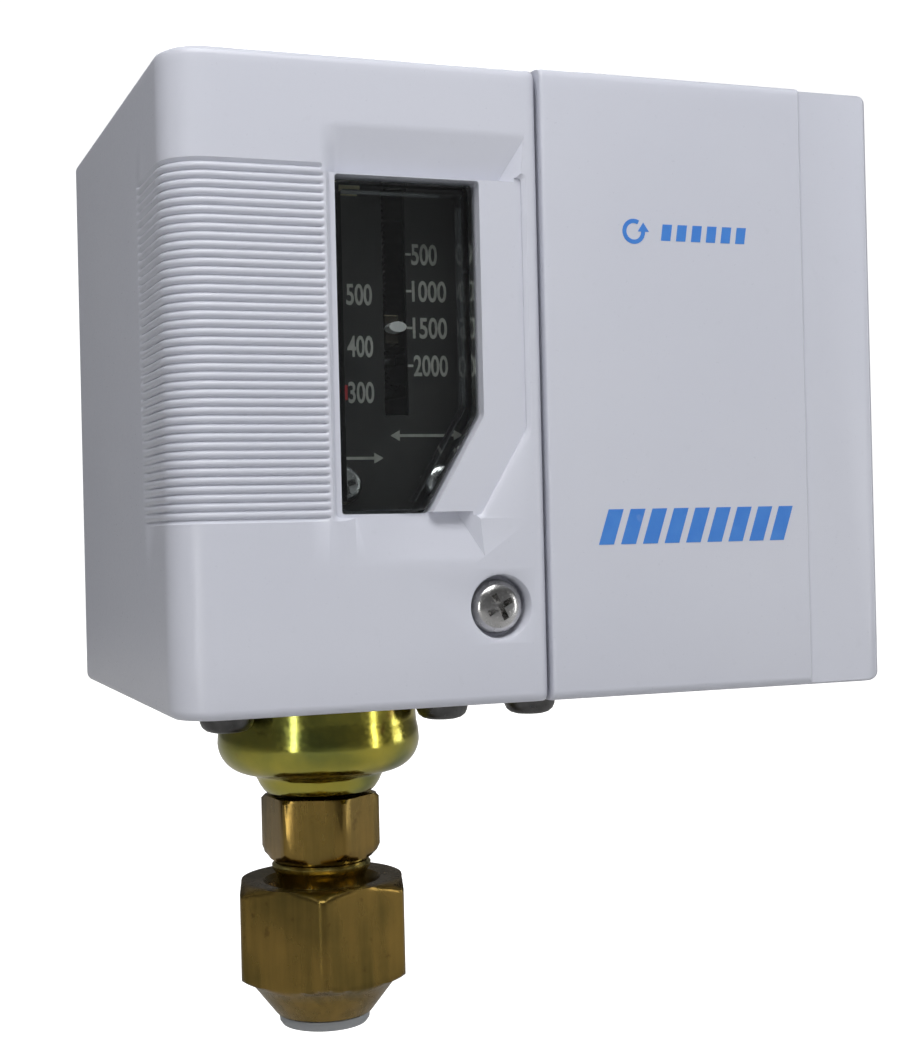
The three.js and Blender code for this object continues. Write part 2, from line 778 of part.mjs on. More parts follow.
function buildSwitch() {
  const { left, length, low, front: face } = snapSwitch;
  const body = box(left, left + length, face, switchBack, low, switchTop);
  const holes = switchHoles.map((x) => bar(x, switchHoleZ, switchHole.radius, face - 1, switchBack + 1));
  const well = post(button.x, element.y, button.radius + holeGap, low - 1, low + 4);
  return cut(body, well, ...holes);
}

function buildBlock() {
  const { left, right, front: face, back, low, high, pocketFloor } = block;
  const body = box(left, right, face, back, low, high);
  const half = (poles.pitch - poles.barrier) / 2;
  const pockets = poleX.map((x) => box(x - half, x + half, face - 1, pocketFloor, low - 1, high - 1.6));
  const holes = poleX.map((x) => bar(x, poleZ, poles.screwRadius + holeGap, face, 16));
  return cut(body, ...pockets, ...holes);
}

function buildTerminalPlate(x) {
  const half = (poles.pitch - poles.barrier) / 2 - fitGap;
  const face = block.pocketFloor - fitGap;
  const plate = box(x - half, x + half, face - 0.8, face, block.low + 0.4, block.high - 2.2);
  return plate.subtract(bar(x, poleZ, poles.screwRadius + holeGap, 0, 20));
}

// A strip that joins a switch contact to its terminal plate: up from the switch, then forward.
function buildLink(x) {
  const low = switchTop + fitGap;
  const high = block.low - fitGap;
  const back = snapSwitch.front + 4;
  const upright = box(x - 1.6, x + 1.6, back, back + 0.8, low, high);
  const shelf = box(x - 1.6, x + 1.6, block.pocketFloor - 1.1, back + 0.8, high - 0.8, high);
  return upright.add(shelf);
}

function buildSwitchPlate() {
  const { front: face, left, right, thickness, legLeft, legRight, step } = switchPlate;
  const back = face + thickness;
  const plate = box(left, right, face, back, step, block.high);
  const leg = box(legLeft, legRight, face, back, onFloor, step + 0.1);
  const foot = box(legLeft, legRight, face, switchFoot.back, onFloor, onFloor + 1.2);
  return cut(
    join(plate, leg, foot),
    ...switchHoles.map((x) => bar(x, switchHoleZ, switchHole.radius, face - 1, back + 1)),
    ...switchScrewPoints.map(([x, y]) => post(x, y, m3 + holeGap, 0, onFloor + 3)),
  );
}

function buildBarrier() {
  const face = switchPlate.front - fitGap / 2 - barrierSheet.thickness;
  const sheetBody = box(
    switchPlate.left,
    switchPlate.right,
    block.back + fitGap,
    block.back + fitGap + barrierSheet.thickness,
    switchTop + 1,
    block.high,
  );
  const lip = box(
    switchPlate.left,
    switchPlate.right,
    block.back + fitGap,
    face,
    switchTop + 1,
    switchTop + 1 + barrierSheet.thickness,
  );
  return sheetBody.add(lip);
}

function buildGrommet() {
  const { x, y, radius, hole, groove, rise, drop } = grommet;
  const lipLow = -fitGap;
  const lipHigh = sheet + fitGap;
  return turned(
    [
      [hole, -drop],
      [radius - 0.8, -drop],
      [radius, -drop + 0.8],
      [radius, lipLow],
      [groove, lipLow],
      [groove, lipHigh],
      [radius - 0.6, lipHigh],
      [radius - 1.2, sheet + rise],
      [hole, sheet + rise],
      [hole, -drop],
    ],
    x,
    y,
  );
}

function buildEarthScrew() {
  const seat = onFloor + 0.8 + fitGap;
  const { x, y, head, height } = earth;
  const top = seat + height;
  const body = turned([[0, 0], [m3, 0], [m3, seat], [head, seat], [head, top], [0, top]], x, y);
  const slot = box(x - head - 1, x + head + 1, y - 0.4, y + 0.4, top - 0.8, top + 1);
  return body.subtract(slot);
}

function buildEarthWasher() {
  const { x, y, washer } = earth;
  const ring = m3 + holeGap;
  return turned(
    [[ring, onFloor], [washer, onFloor], [washer, onFloor + 0.8], [ring, onFloor + 0.8], [ring, onFloor]],
    x,
    y,
  );
}

// A plain ring on a bar that runs from front to back.
function ringOnBar(x, z, inner, outer, y0, y1) {
  return bar(x, z, outer, y0, y1).subtract(bar(x, z, inner, y0 - 1, y1 + 1));
}

// ---------------------------------------------------------------- assembly
add("window_cover", buildWindowCover(), finishes.coverPlastic);
add("window_pane", buildPane(), finishes.clear);
add("terminal_cover", buildTerminalCover(), finishes.coverPlastic);
add("chassis", buildChassis(), finishes.zinc);
add("cover_bracket", buildCoverBracket(), finishes.zinc);

const headBack = coverScrew.headTop + coverScrew.headHeight;
add(
  "cover_screw",
  faceScrew(
    coverScrew.x,
    coverScrew.z,
    coverScrew.head,
    coverScrew.headHeight,
    coverThread.radius,
    headBack,
    coverBracket.front + 2.6,
  ),
  finishes.zinc,
);
const ringFront = coverThread.bossEnd + coverTravel;
add(
  "captive_ring",
  ringOnBar(
    coverScrew.x,
    coverScrew.z,
    coverThread.radius + holeGap,
    coverThread.radius + 1.5,
    ringFront,
    ringFront + 0.6,
  ),
  finishes.springSteel,
);

add("bellows_cup", buildCup(), finishes.passivated);
add("element_flange", buildElementFlange(), finishes.passivated);
elementScrewPoints.forEach((point, k) =>
  add(`element_screw_${k + 1}`, floorScrew(point, onFloor + 2), finishes.zinc),
);
add("bracket_screw", floorScrew(bracketScrewPoint, onFloor + 2), finishes.zinc);
add("bellows", buildBellows(), finishes.bronze);
add("bellows_cap", post(element.x, element.y, bellows.outer, capLow, capHigh, 20), finishes.brass);
add("push_rod", buildPushRod(), finishes.brass);
add("flare_union", buildUnion(), finishes.brass);
add("flare_nut", buildFlareNut(), finishes.brass);
add("dust_plug", buildPlug(), finishes.greyPlastic);

const webFace = chassis.webFront - 0.4;
add(
  "lever_pin",
  bar(lever.pivotX, lever.pivotZ, pivotPin.radius, webFace, pivotPin.back),
  finishes.springSteel,
);
add("main_lever", buildMainLever(), finishes.zinc);
add(
  "diff_lever_pin",
  bar(diffLever.pivotX, diffLever.pivotZ, diffPin.radius, leverBack + 0.8, pivotPin.back),
  finishes.springSteel,
);
add("diff_lever", buildDiffLever(), finishes.zinc);

const seatLow = (seat) => seat.z - seat.thickness / 2;
add("range_screw", buildAdjuster(rangeScrew), finishes.zinc);
add("range_seat", buildSeat(rangeSeat, rangeScrew, rangeScrew.x, rangeSeat.z), finishes.brass);
add("range_pointer", buildPointer(rangeScrew.x, rangeSeat.z), finishes.whitePlastic);
add(
  "range_spring",
  coil(
    rangeScrew.x,
    rangeScrew.y,
    rangeSpring.radius,
    rangeSpring.wire,
    leverTop + fitGap,
    seatLow(rangeSeat) - fitGap,
    rangeSpring.turns,
  ),
  finishes.springSteel,
);
add("diff_screw", buildAdjuster(diffScrew), finishes.zinc);
add("diff_seat", buildSeat(diffSeat, diffScrew, diffScrew.x, diffSeat.pointerZ), finishes.brass);
add("diff_pointer", buildPointer(diffScrew.x, diffSeat.pointerZ), finishes.redPlastic);
add(
  "diff_spring",
  coil(
    diffScrew.x,
    diffScrew.y,
    diffSpring.radius,
    diffSpring.wire,
    diffLever.low + diffLever.thickness + fitGap,
    seatLow(diffSeat) - fitGap,
    diffSpring.turns,
  ),
  finishes.springSteel,
);

add("scale_plate", buildScale(), finishes.dial);
[scaleScrews.left, scaleScrews.right].forEach((x, k) =>
  add(
    `scale_screw_${k + 1}`,
    faceScrew(x, scaleScrews.z, scaleScrews.head, 1.5, scaleScrews.radius, scale.front - fitGap, webBack + 1),
    finishes.zinc,
  ),
);

add("switch_body", buildSwitch(), finishes.bakelite);
add(
  "switch_button",
  post(button.x, element.y, button.radius, leverTop + fitGap, snapSwitch.low + 2.5),
  finishes.redPlastic,
);
switchHoles.forEach((x, k) =>
  add(
    `switch_screw_${k + 1}`,
    faceScrew(x, switchHoleZ, 2.2, 1.4, 1.2, snapSwitch.front - fitGap, switchPlate.front + 4),
    finishes.zinc,
  ),
);
add("terminal_block", buildBlock(), finishes.bakelite);
poleX.forEach((x, k) => {
  add(`terminal_plate_${k + 1}`, buildTerminalPlate(x), finishes.brass);
  add(
    `terminal_screw_${k + 1}`,
    faceScrew(x, poleZ, poles.head, 1.9, poles.screwRadius, block.pocketFloor - 0.8 - 2 * fitGap, 15),
    finishes.brass,
  );
  add(`contact_link_${k + 1}`, buildLink(x), finishes.brass);
});
add("switch_plate", buildSwitchPlate(), finishes.zinc);
switchScrewPoints.forEach((point, k) =>
  add(`plate_screw_${k + 1}`, floorScrew(point, onFloor + 2.2), finishes.zinc),
);
add("insulating_sheet", buildBarrier(), finishes.fibre);
add("cable_grommet", buildGrommet(), finishes.rubber);
add("earth_screw", buildEarthScrew(), finishes.earthGreen);
add("earth_washer", buildEarthWasher(), finishes.brass);

group.position.set(-caseSize.width / 2, -caseSize.depth, -caseSize.height / 2);
export default group;
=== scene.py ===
"""Dresses the refrigeration pressure switch and sets up the studio that it is shown in.

Sizes are in millimetres from the case's left, front, bottom corner: x runs to the right, y to the
back and z up. The class Case turns them into metres in the frame that the design uses.
"""

import json
import logging
import math
from contextlib import contextmanager
from dataclasses import dataclass, field
from enum import Enum
from typing import Callable, Iterator, Sequence

import bmesh
import bpy
import numpy as np
from mathutils import Matrix, Vector

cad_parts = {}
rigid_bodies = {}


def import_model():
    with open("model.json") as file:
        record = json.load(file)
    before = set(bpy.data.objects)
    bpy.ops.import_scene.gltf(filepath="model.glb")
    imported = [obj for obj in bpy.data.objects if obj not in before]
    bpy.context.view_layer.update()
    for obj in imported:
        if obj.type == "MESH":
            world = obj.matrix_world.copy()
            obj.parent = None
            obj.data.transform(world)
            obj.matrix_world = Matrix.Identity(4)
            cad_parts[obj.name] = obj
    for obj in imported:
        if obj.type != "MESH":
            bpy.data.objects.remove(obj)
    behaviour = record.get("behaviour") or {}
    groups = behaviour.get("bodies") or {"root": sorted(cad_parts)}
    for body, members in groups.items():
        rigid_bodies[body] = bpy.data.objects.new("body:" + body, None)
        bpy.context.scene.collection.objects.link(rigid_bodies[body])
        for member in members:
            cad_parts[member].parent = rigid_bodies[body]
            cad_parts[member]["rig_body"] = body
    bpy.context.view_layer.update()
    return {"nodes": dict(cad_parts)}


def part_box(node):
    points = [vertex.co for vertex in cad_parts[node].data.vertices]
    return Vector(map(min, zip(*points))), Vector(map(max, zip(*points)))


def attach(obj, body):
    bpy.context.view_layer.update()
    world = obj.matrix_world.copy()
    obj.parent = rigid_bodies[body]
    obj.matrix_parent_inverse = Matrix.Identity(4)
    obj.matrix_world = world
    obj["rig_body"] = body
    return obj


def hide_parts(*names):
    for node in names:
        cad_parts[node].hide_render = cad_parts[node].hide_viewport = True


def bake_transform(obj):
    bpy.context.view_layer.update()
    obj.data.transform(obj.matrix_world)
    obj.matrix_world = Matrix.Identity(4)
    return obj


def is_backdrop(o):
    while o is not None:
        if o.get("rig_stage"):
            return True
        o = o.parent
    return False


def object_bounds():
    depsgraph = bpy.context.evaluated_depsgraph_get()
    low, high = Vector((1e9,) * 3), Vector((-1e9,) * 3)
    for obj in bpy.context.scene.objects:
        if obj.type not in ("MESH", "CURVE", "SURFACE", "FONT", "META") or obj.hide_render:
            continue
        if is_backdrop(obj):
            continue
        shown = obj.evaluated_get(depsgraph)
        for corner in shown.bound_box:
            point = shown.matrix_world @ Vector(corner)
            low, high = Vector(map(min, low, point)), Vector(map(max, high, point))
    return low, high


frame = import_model()

LOG = logging.getLogger("pressure_switch")
TAU = 2 * math.pi
MM = 0.001
ROOT = "case"
SHARP = math.radians(40)
CRISP = math.radians(20)
Points = np.ndarray
Faces = list[tuple[int, ...]]
Pair = tuple[float, float]
Place = tuple[float, float, float]
Colour = tuple[float, float, float]
Object = bpy.types.Object
Mesh = bpy.types.Mesh
Material = bpy.types.Material
Node = bpy.types.Node
Socket = bpy.types.NodeSocket
Tree = bpy.types.NodeTree


class Axis(Enum):
    """The way that a turned piece's axis runs."""

    UP = "up"
    BACK = "back"


# ---------------------------------------------------------------- places and meshes
@dataclass(frozen=True)
class Case:
    """The case's corner, from which every size is counted."""

    corner: Vector = field(default_factory=lambda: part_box("window_cover")[0])

    def place(self, points: Points) -> Points:
        """Turn case millimetres into metres in the frame."""
        return np.asarray(points, float) * MM + np.array(self.corner)

    def point(self, x: float, y: float, z: float) -> Place:
        """Return one case point in metres."""
        return tuple(float(v) for v in self.place(np.array([x, y, z])))


CASE = Case()


def quads(rows: int, cols: int, round_cols: bool = False, round_rows: bool = False) -> Faces:
    """Join a grid of points, numbered row by row, into four-sided faces.

    Args:
        rows: Number of rows.
        cols: Number of columns.
        round_cols: Whether the last column joins the first.
        round_rows: Whether the last row joins the first.

    Returns:
        The faces as tuples of point numbers.
    """
    i, j = np.meshgrid(
        np.arange(rows if round_rows else rows - 1),
        np.arange(cols if round_cols else cols - 1),
        indexing="ij",
    )
    up, across = (i + 1) % rows, (j + 1) % cols
    corners = [i * cols + j, i * cols + across, up * cols + across, up * cols + j]
    return [tuple(f) for f in np.stack([c.ravel() for c in corners], axis=1).tolist()]


@contextmanager
def opened(mesh: Mesh) -> Iterator[bmesh.types.BMesh]:
    """Open a mesh for editing and write it back afterwards."""
    bm = bmesh.new()
    bm.from_mesh(mesh)
    yield bm
    bm.to_mesh(mesh)
    bm.free()


def tidy(mesh: Mesh, merge: float = 2e-6) -> None:
    """Merge doubled points, drop faces without area and turn every face outwards."""
    with opened(mesh) as bm:
        bmesh.ops.remove_doubles(bm, verts=bm.verts, dist=merge)
        bmesh.ops.dissolve_degenerate(bm, edges=bm.edges, dist=1e-7)
        bmesh.ops.recalc_face_normals(bm, faces=bm.faces)


def moved(mesh: Mesh, change: Callable[[Points], Points]) -> None:
    """Move a mesh's points by a function of all their places."""
    flat = np.empty(len(mesh.vertices) * 3)
    mesh.vertices.foreach_get("co", flat)
    mesh.vertices.foreach_set("co", change(flat.reshape(-1, 3)).ravel())
    mesh.update()


def shade(mesh: Mesh, angle: float = SHARP) -> None:
    """Shade the mesh smooth, with hard edges where faces meet past the angle."""
    mesh.polygons.foreach_set("use_smooth", np.ones(len(mesh.polygons), bool))
    mesh.set_sharp_from_angle(angle=angle)
    mesh.update()


def linked(name: str, data: bpy.types.ID) -> Object:
    """Make an object of some data and link it to the scene."""
    made = bpy.data.objects.new(name, data)
    bpy.context.scene.collection.objects.link(made)
    return made


def drawn(name: str, points: Points, faces: Faces) -> Mesh:
    """Make a mesh from case points."""
    mesh = bpy.data.meshes.new(name)
    mesh.from_pydata(CASE.place(points).tolist(), [], faces)
    return mesh


def piece(name: str, points: Points, faces: Faces) -> Object:
    """Make a closed piece from case points and link it to the scene."""
    mesh = drawn(name, points, faces)
    tidy(mesh)
    shade(mesh)
    return linked(name, mesh)


def applied(obj: Object, angle: float = SHARP) -> Object:
    """Turn an object's modifiers into its own mesh."""
    graph = bpy.context.evaluated_depsgraph_get()
    mesh = bpy.data.meshes.new_from_object(obj.evaluated_get(graph))
    obj.modifiers.clear()
    old = obj.data
    obj.data = mesh
    mesh.name = obj.name
    bpy.data.meshes.remove(old)
    shade(mesh, angle)
    return obj


def carve(body: Object, cuts: Sequence[Object], joins: Sequence[Object] = ()) -> None:
    """Join some solids to a body, then cut others out of it, and drop those solids."""
    for operation, tools in (("UNION", joins), ("DIFFERENCE", cuts)):
        for tool in tools:
            step = body.modifiers.new(tool.name, "BOOLEAN")
            step.operation = operation
            step.solver = "MANIFOLD"
            step.object = tool
    applied(body)
    for tool in (*joins, *cuts):
        mesh = tool.data
        bpy.data.objects.remove(tool)
        bpy.data.meshes.remove(mesh)


def turned(
    name: str,
    profile: Sequence[Pair],
    centre: Pair,
    axis: Axis = Axis.UP,
    sides: int = 72,
    ring: bool = False,
    trim: Callable[[Points, Points], Points] | None = None,
    turns: Points | None = None,
) -> Object:
    """Turn a profile about an axis: a point's place is its radius times (cos, sin) of the turn.

    Args:
        name: The piece's name.
        profile: (radius, height) points; height counts along the axis.
        centre: The axis's (x, y) when upright, or (x, z) when it runs back.
        axis: Which way the axis runs.
        sides: How many columns go round.
        ring: Whether the profile closes on itself instead of on the axis.
        trim: A function of turn and radius that gives the radius kept, such as a hexagon's.
        turns: The columns' angles, where they aren't even.

    Returns:
        The piece.
    """
    radius, height = (np.array(v, float)[:, None] for v in zip(*profile))
    angle = (np.arange(sides) / sides * TAU if turns is None else turns)[None, :]
    reach = np.broadcast_to(radius, (len(profile), angle.size)).copy()
    if trim is not None:
        reach = trim(np.broadcast_to(angle, reach.shape), reach)
    a, b = reach * np.cos(angle), reach * np.sin(angle)
    rise = np.broadcast_to(height, a.shape)
    if axis is Axis.UP:
        grid = np.stack([centre[0] + a, centre[1] + b, rise], axis=-1)
    else:
        grid = np.stack([centre[0] + a, rise, centre[1] + b], axis=-1)
    faces = quads(len(profile), angle.size, round_cols=True, round_rows=ring)
    return piece(name, grid.reshape(-1, 3), faces)


def arc(centre: Pair, radius: float, start: float, end: float, steps: int) -> list[Pair]:
    """Return points along an arc, in degrees, both ends included."""
    turn = np.radians(np.linspace(start, end, steps + 1))
    return list(zip(centre[0] + radius * np.cos(turn), centre[1] + radius * np.sin(turn)))


def loft(name: str, outlines: Sequence[Points]) -> Object:
    """Skin a row of outlines that have the same number of points, and cap both ends."""
    rows, cols = len(outlines), len(outlines[0])
    points = np.concatenate(outlines)
    faces = quads(rows, cols, round_cols=True)
    faces += [tuple(range(cols))[::-1], tuple(range((rows - 1) * cols, rows * cols))]
    return piece(name, points, faces)


def facing(outline: Sequence[Pair], depth: float) -> Points:
    """Stand an (x, z) outline up at one depth."""
    flat = np.array(outline, float)
    return np.stack([flat[:, 0], np.full(len(flat), depth), flat[:, 1]], axis=1)


def rounded(corners: Sequence[Pair] | Points, radius: float, steps: int = 4) -> list[Pair]:
    """Round an outline's corners: each becomes a curve (1-t)^2 a + 2t(1-t) corner + t^2 b."""
    pts = np.array(corners, float)
    t = np.linspace(0, 1, steps + 1)[:, None]
    out: list[Points] = []
    for k, corner in enumerate(pts):
        before, after = pts[k - 1] - corner, pts[(k + 1) % len(pts)] - corner
        a = corner + before / np.linalg.norm(before) * radius
        b = corner + after / np.linalg.norm(after) * radius
        out.append((1 - t) ** 2 * a + 2 * t * (1 - t) * corner + t**2 * b)
    return [tuple(p) for p in np.concatenate(out)]


# ---------------------------------------------------------------- finishes
def put(node: Node, values: dict) -> Node:
    """Set some of a node's inputs, by name or number."""
    for name, value in values.items():
        node.inputs[name].default_value = value
    return node


def add(tree: Tree, kind: str, values: dict | None = None) -> Node:
    """Add a shader node and set some of its inputs."""
    return put(tree.nodes.new(f"ShaderNode{kind}"), values or {})


def wire(tree: Tree, *pairs: tuple[Socket, Socket]) -> None:
    """Link each pair of sockets, the output first."""
    for source, target in pairs:
        tree.links.new(source, target)


class Patterns:
    """The node groups that several finishes share."""

    def __init__(self) -> None:
        """Build each group once."""
        self.mottle = self._mottle()
        self.lines = self._lines()
        self.rings = self._rings()

    @staticmethod
    def _start(name: str, inputs: dict[str, float | None], outputs: Sequence[str]) -> tuple:
        """Make a group and its outside sockets: numbers, or vectors where no value is given."""
        tree = bpy.data.node_groups.new(name, "ShaderNodeTree")
        enter, leave = tree.nodes.new("NodeGroupInput"), tree.nodes.new("NodeGroupOutput")
        for label, value in inputs.items():
            kind = "NodeSocketVector" if value is None else "NodeSocketFloat"
            made = tree.interface.new_socket(name=label, in_out="INPUT", socket_type=kind)
            if value is not None:
                made.default_value = value
        for label in outputs:
            tree.interface.new_socket(name=label, in_out="OUTPUT", socket_type="NodeSocketFloat")
        return tree, enter.outputs, leave.inputs

    def _mottle(self) -> Tree:
        """Blotches, grain and specks: three noises of different scale on the object's own place."""
        scales = {"Vector": None, "Blotch Scale": 60.0, "Grain Scale": 2500.0, "Speck Scale": 700.0}
        tree, enter, leave = self._start("Mottle", scales, ("Blotch", "Grain", "Speck"))
        for name, detail, low, high in (
            ("Blotch", 5.0, 0.32, 0.68), ("Grain", 2.0, 0.25, 0.75), ("Speck", 3.0, 0.66, 0.74),
        ):
            noise = add(tree, "TexNoise", {"Detail": detail})
            spread = add(tree, "MapRange", {"From Min": low, "From Max": high})
            wire(tree, (enter["Vector"], noise.inputs["Vector"]),
                 (enter[f"{name} Scale"], noise.inputs["Scale"]),
                 (noise.outputs["Fac"], spread.inputs["Value"]),
                 (spread.outputs["Result"], leave[name]))
        return tree

    def _lines(self) -> Tree:
        """Rolling or brushing lines: a noise squeezed across the grain and stretched along it."""
        tree, enter, leave = self._start("Drawn lines", {"Vector": None, "Stretch": None}, ("Lines",))
        squeeze = add(tree, "VectorMath")
        squeeze.operation = "MULTIPLY"
        noise = add(tree, "TexNoise", {"Scale": 1.0, "Detail": 4.0})
        spread = add(tree, "MapRange", {"From Min": 0.3, "From Max": 0.7})
        wire(tree, (enter["Vector"], squeeze.inputs[0]), (enter["Stretch"], squeeze.inputs[1]),
             (squeeze.outputs[0], noise.inputs["Vector"]), (noise.outputs["Fac"], spread.inputs["Value"]),
             (spread.outputs["Result"], leave["Lines"]))
        return tree

    def _rings(self) -> Tree:
        """Tool marks of turning: fine waves along the upright axis, a little uneven."""
        tree, enter, leave = self._start("Tool rings", {"Vector": None, "Scale": 900.0}, ("Rings",))
        wave = add(tree, "TexWave", {"Distortion": 1.2, "Detail": 2.0})
        wave.bands_direction = "Z"
        wire(tree, (enter["Vector"], wave.inputs["Vector"]), (enter["Scale"], wave.inputs["Scale"]),
             (wave.outputs["Fac"], leave["Rings"]))
        return tree


PATTERNS = Patterns()


@dataclass(frozen=True)
class Finish:
    """One surface: its colours, its gloss and the relief of its grain.

    The base colour runs from colour to shade with the blotches, and takes the speck colour where
    specks fall. Roughness runs between its two values with the grain, or with the lines or rings
    where the finish has them.
    """

    name: str
    colour: Colour
    shade: Colour
    speck: Colour
    metal: float = 0.0
    rough: Pair = (0.35, 0.5)
    blotch_scale: float = 60.0
    grain_scale: float = 2500.0
    speck_scale: float = 700.0
    speck_amount: float = 0.3
    relief: float = 0.1
    relief_depth: float = 0.00002
    stretch: Place | None = None
    rings: float | None = None
    pattern_strength: float = 0.5
    clear: float = 0.0
    coat: float = 0.0
    specular: float = 0.5

    def material(self) -> Material:
        """Build the finish as a material that reads the object's own place."""
        mat = bpy.data.materials.new(self.name)
        mat.use_nodes = True
        tree = mat.node_tree
        place = add(tree, "TexCoord").outputs["Object"]
        mottle = self._group(tree, place, PATTERNS.mottle, {
            "Blotch Scale": self.blotch_scale, "Grain Scale": self.grain_scale,
            "Speck Scale": self.speck_scale,
        })
        tone, height = mottle["Blotch"], mottle["Grain"]
        rough_by = height
        pattern = self._pattern(tree, place)
        if pattern is not None:
            rough_by = tone = self._mix_values(tree, tone, pattern)
            height = self._mix_values(tree, height, pattern)
        specks = add(tree, "Math", {1: self.speck_amount})
        specks.operation = "MULTIPLY"
        ground = self._mix_colours(tree, tone, self.colour, self.shade)
        base = self._mix_colours(tree, specks.outputs[0], ground, self.speck)
        rough = add(tree, "MapRange", {"To Min": self.rough[0], "To Max": self.rough[1]})
        bump = add(tree, "Bump", {"Strength": self.relief, "Distance": self.relief_depth})
        shader = put(tree.nodes["Principled BSDF"], {
            "Metallic": self.metal, "Specular IOR Level": self.specular, "Transmission Weight": self.clear,
            "Coat Weight": self.coat,
        })
        wire(tree, (mottle["Speck"], specks.inputs[0]), (rough_by, rough.inputs["Value"]),
             (height, bump.inputs["Height"]), (base, shader.inputs["Base Color"]),
             (rough.outputs["Result"], shader.inputs["Roughness"]),
             (bump.outputs["Normal"], shader.inputs["Normal"]))
        return mat

    @staticmethod
    def _group(tree: Tree, place: Socket, pattern: Tree, values: dict) -> Sequence[Socket]:
        """Add one of the shared patterns, read at the object's place, and return its outputs."""
        group = add(tree, "Group")
        group.node_tree = pattern
        put(group, values)
        wire(tree, (place, group.inputs["Vector"]))
        return group.outputs

    def _pattern(self, tree: Tree, place: Socket) -> Socket | None:
        """Add the drawn lines or the tool rings, where the finish has them."""
        if self.rings is not None:
            return self._group(tree, place, PATTERNS.rings, {"Scale": self.rings})[0]
        if self.stretch is not None:
            return self._group(tree, place, PATTERNS.lines, {"Stretch": self.stretch})[0]
        return None

    def _mix_values(self, tree: Tree, a: Socket, b: Socket) -> Socket:
        """Mix two values by the pattern's strength."""
        mix = add(tree, "Mix", {"Factor": self.pattern_strength})
        wire(tree, (a, mix.inputs["A"]), (b, mix.inputs["B"]))
        return mix.outputs["Result"]

    @staticmethod
    def _mix_colours(tree: Tree, factor: Socket, a: Colour | Socket, b: Colour | Socket) -> Socket:
        """Mix two colours, each a plain colour or another node's, by a value."""
        mix = add(tree, "Mix")
        mix.data_type = "RGBA"
        wire(tree, (factor, mix.inputs["Factor"]))
        for end, value in (("A", a), ("B", b)):
            target = next(s for s in mix.inputs if s.name == end and s.type == "RGBA")
            if isinstance(value, Socket):
                wire(tree, (value, target))
            else:
                target.default_value = (*value, 1.0)
        return next(s for s in mix.outputs if s.type == "RGBA")


def grey(value: float, warm: float = 0.0) -> Colour:
    """Return a grey with a little warmth."""
    return (value * (1 + warm), value, value * (1 - warm))


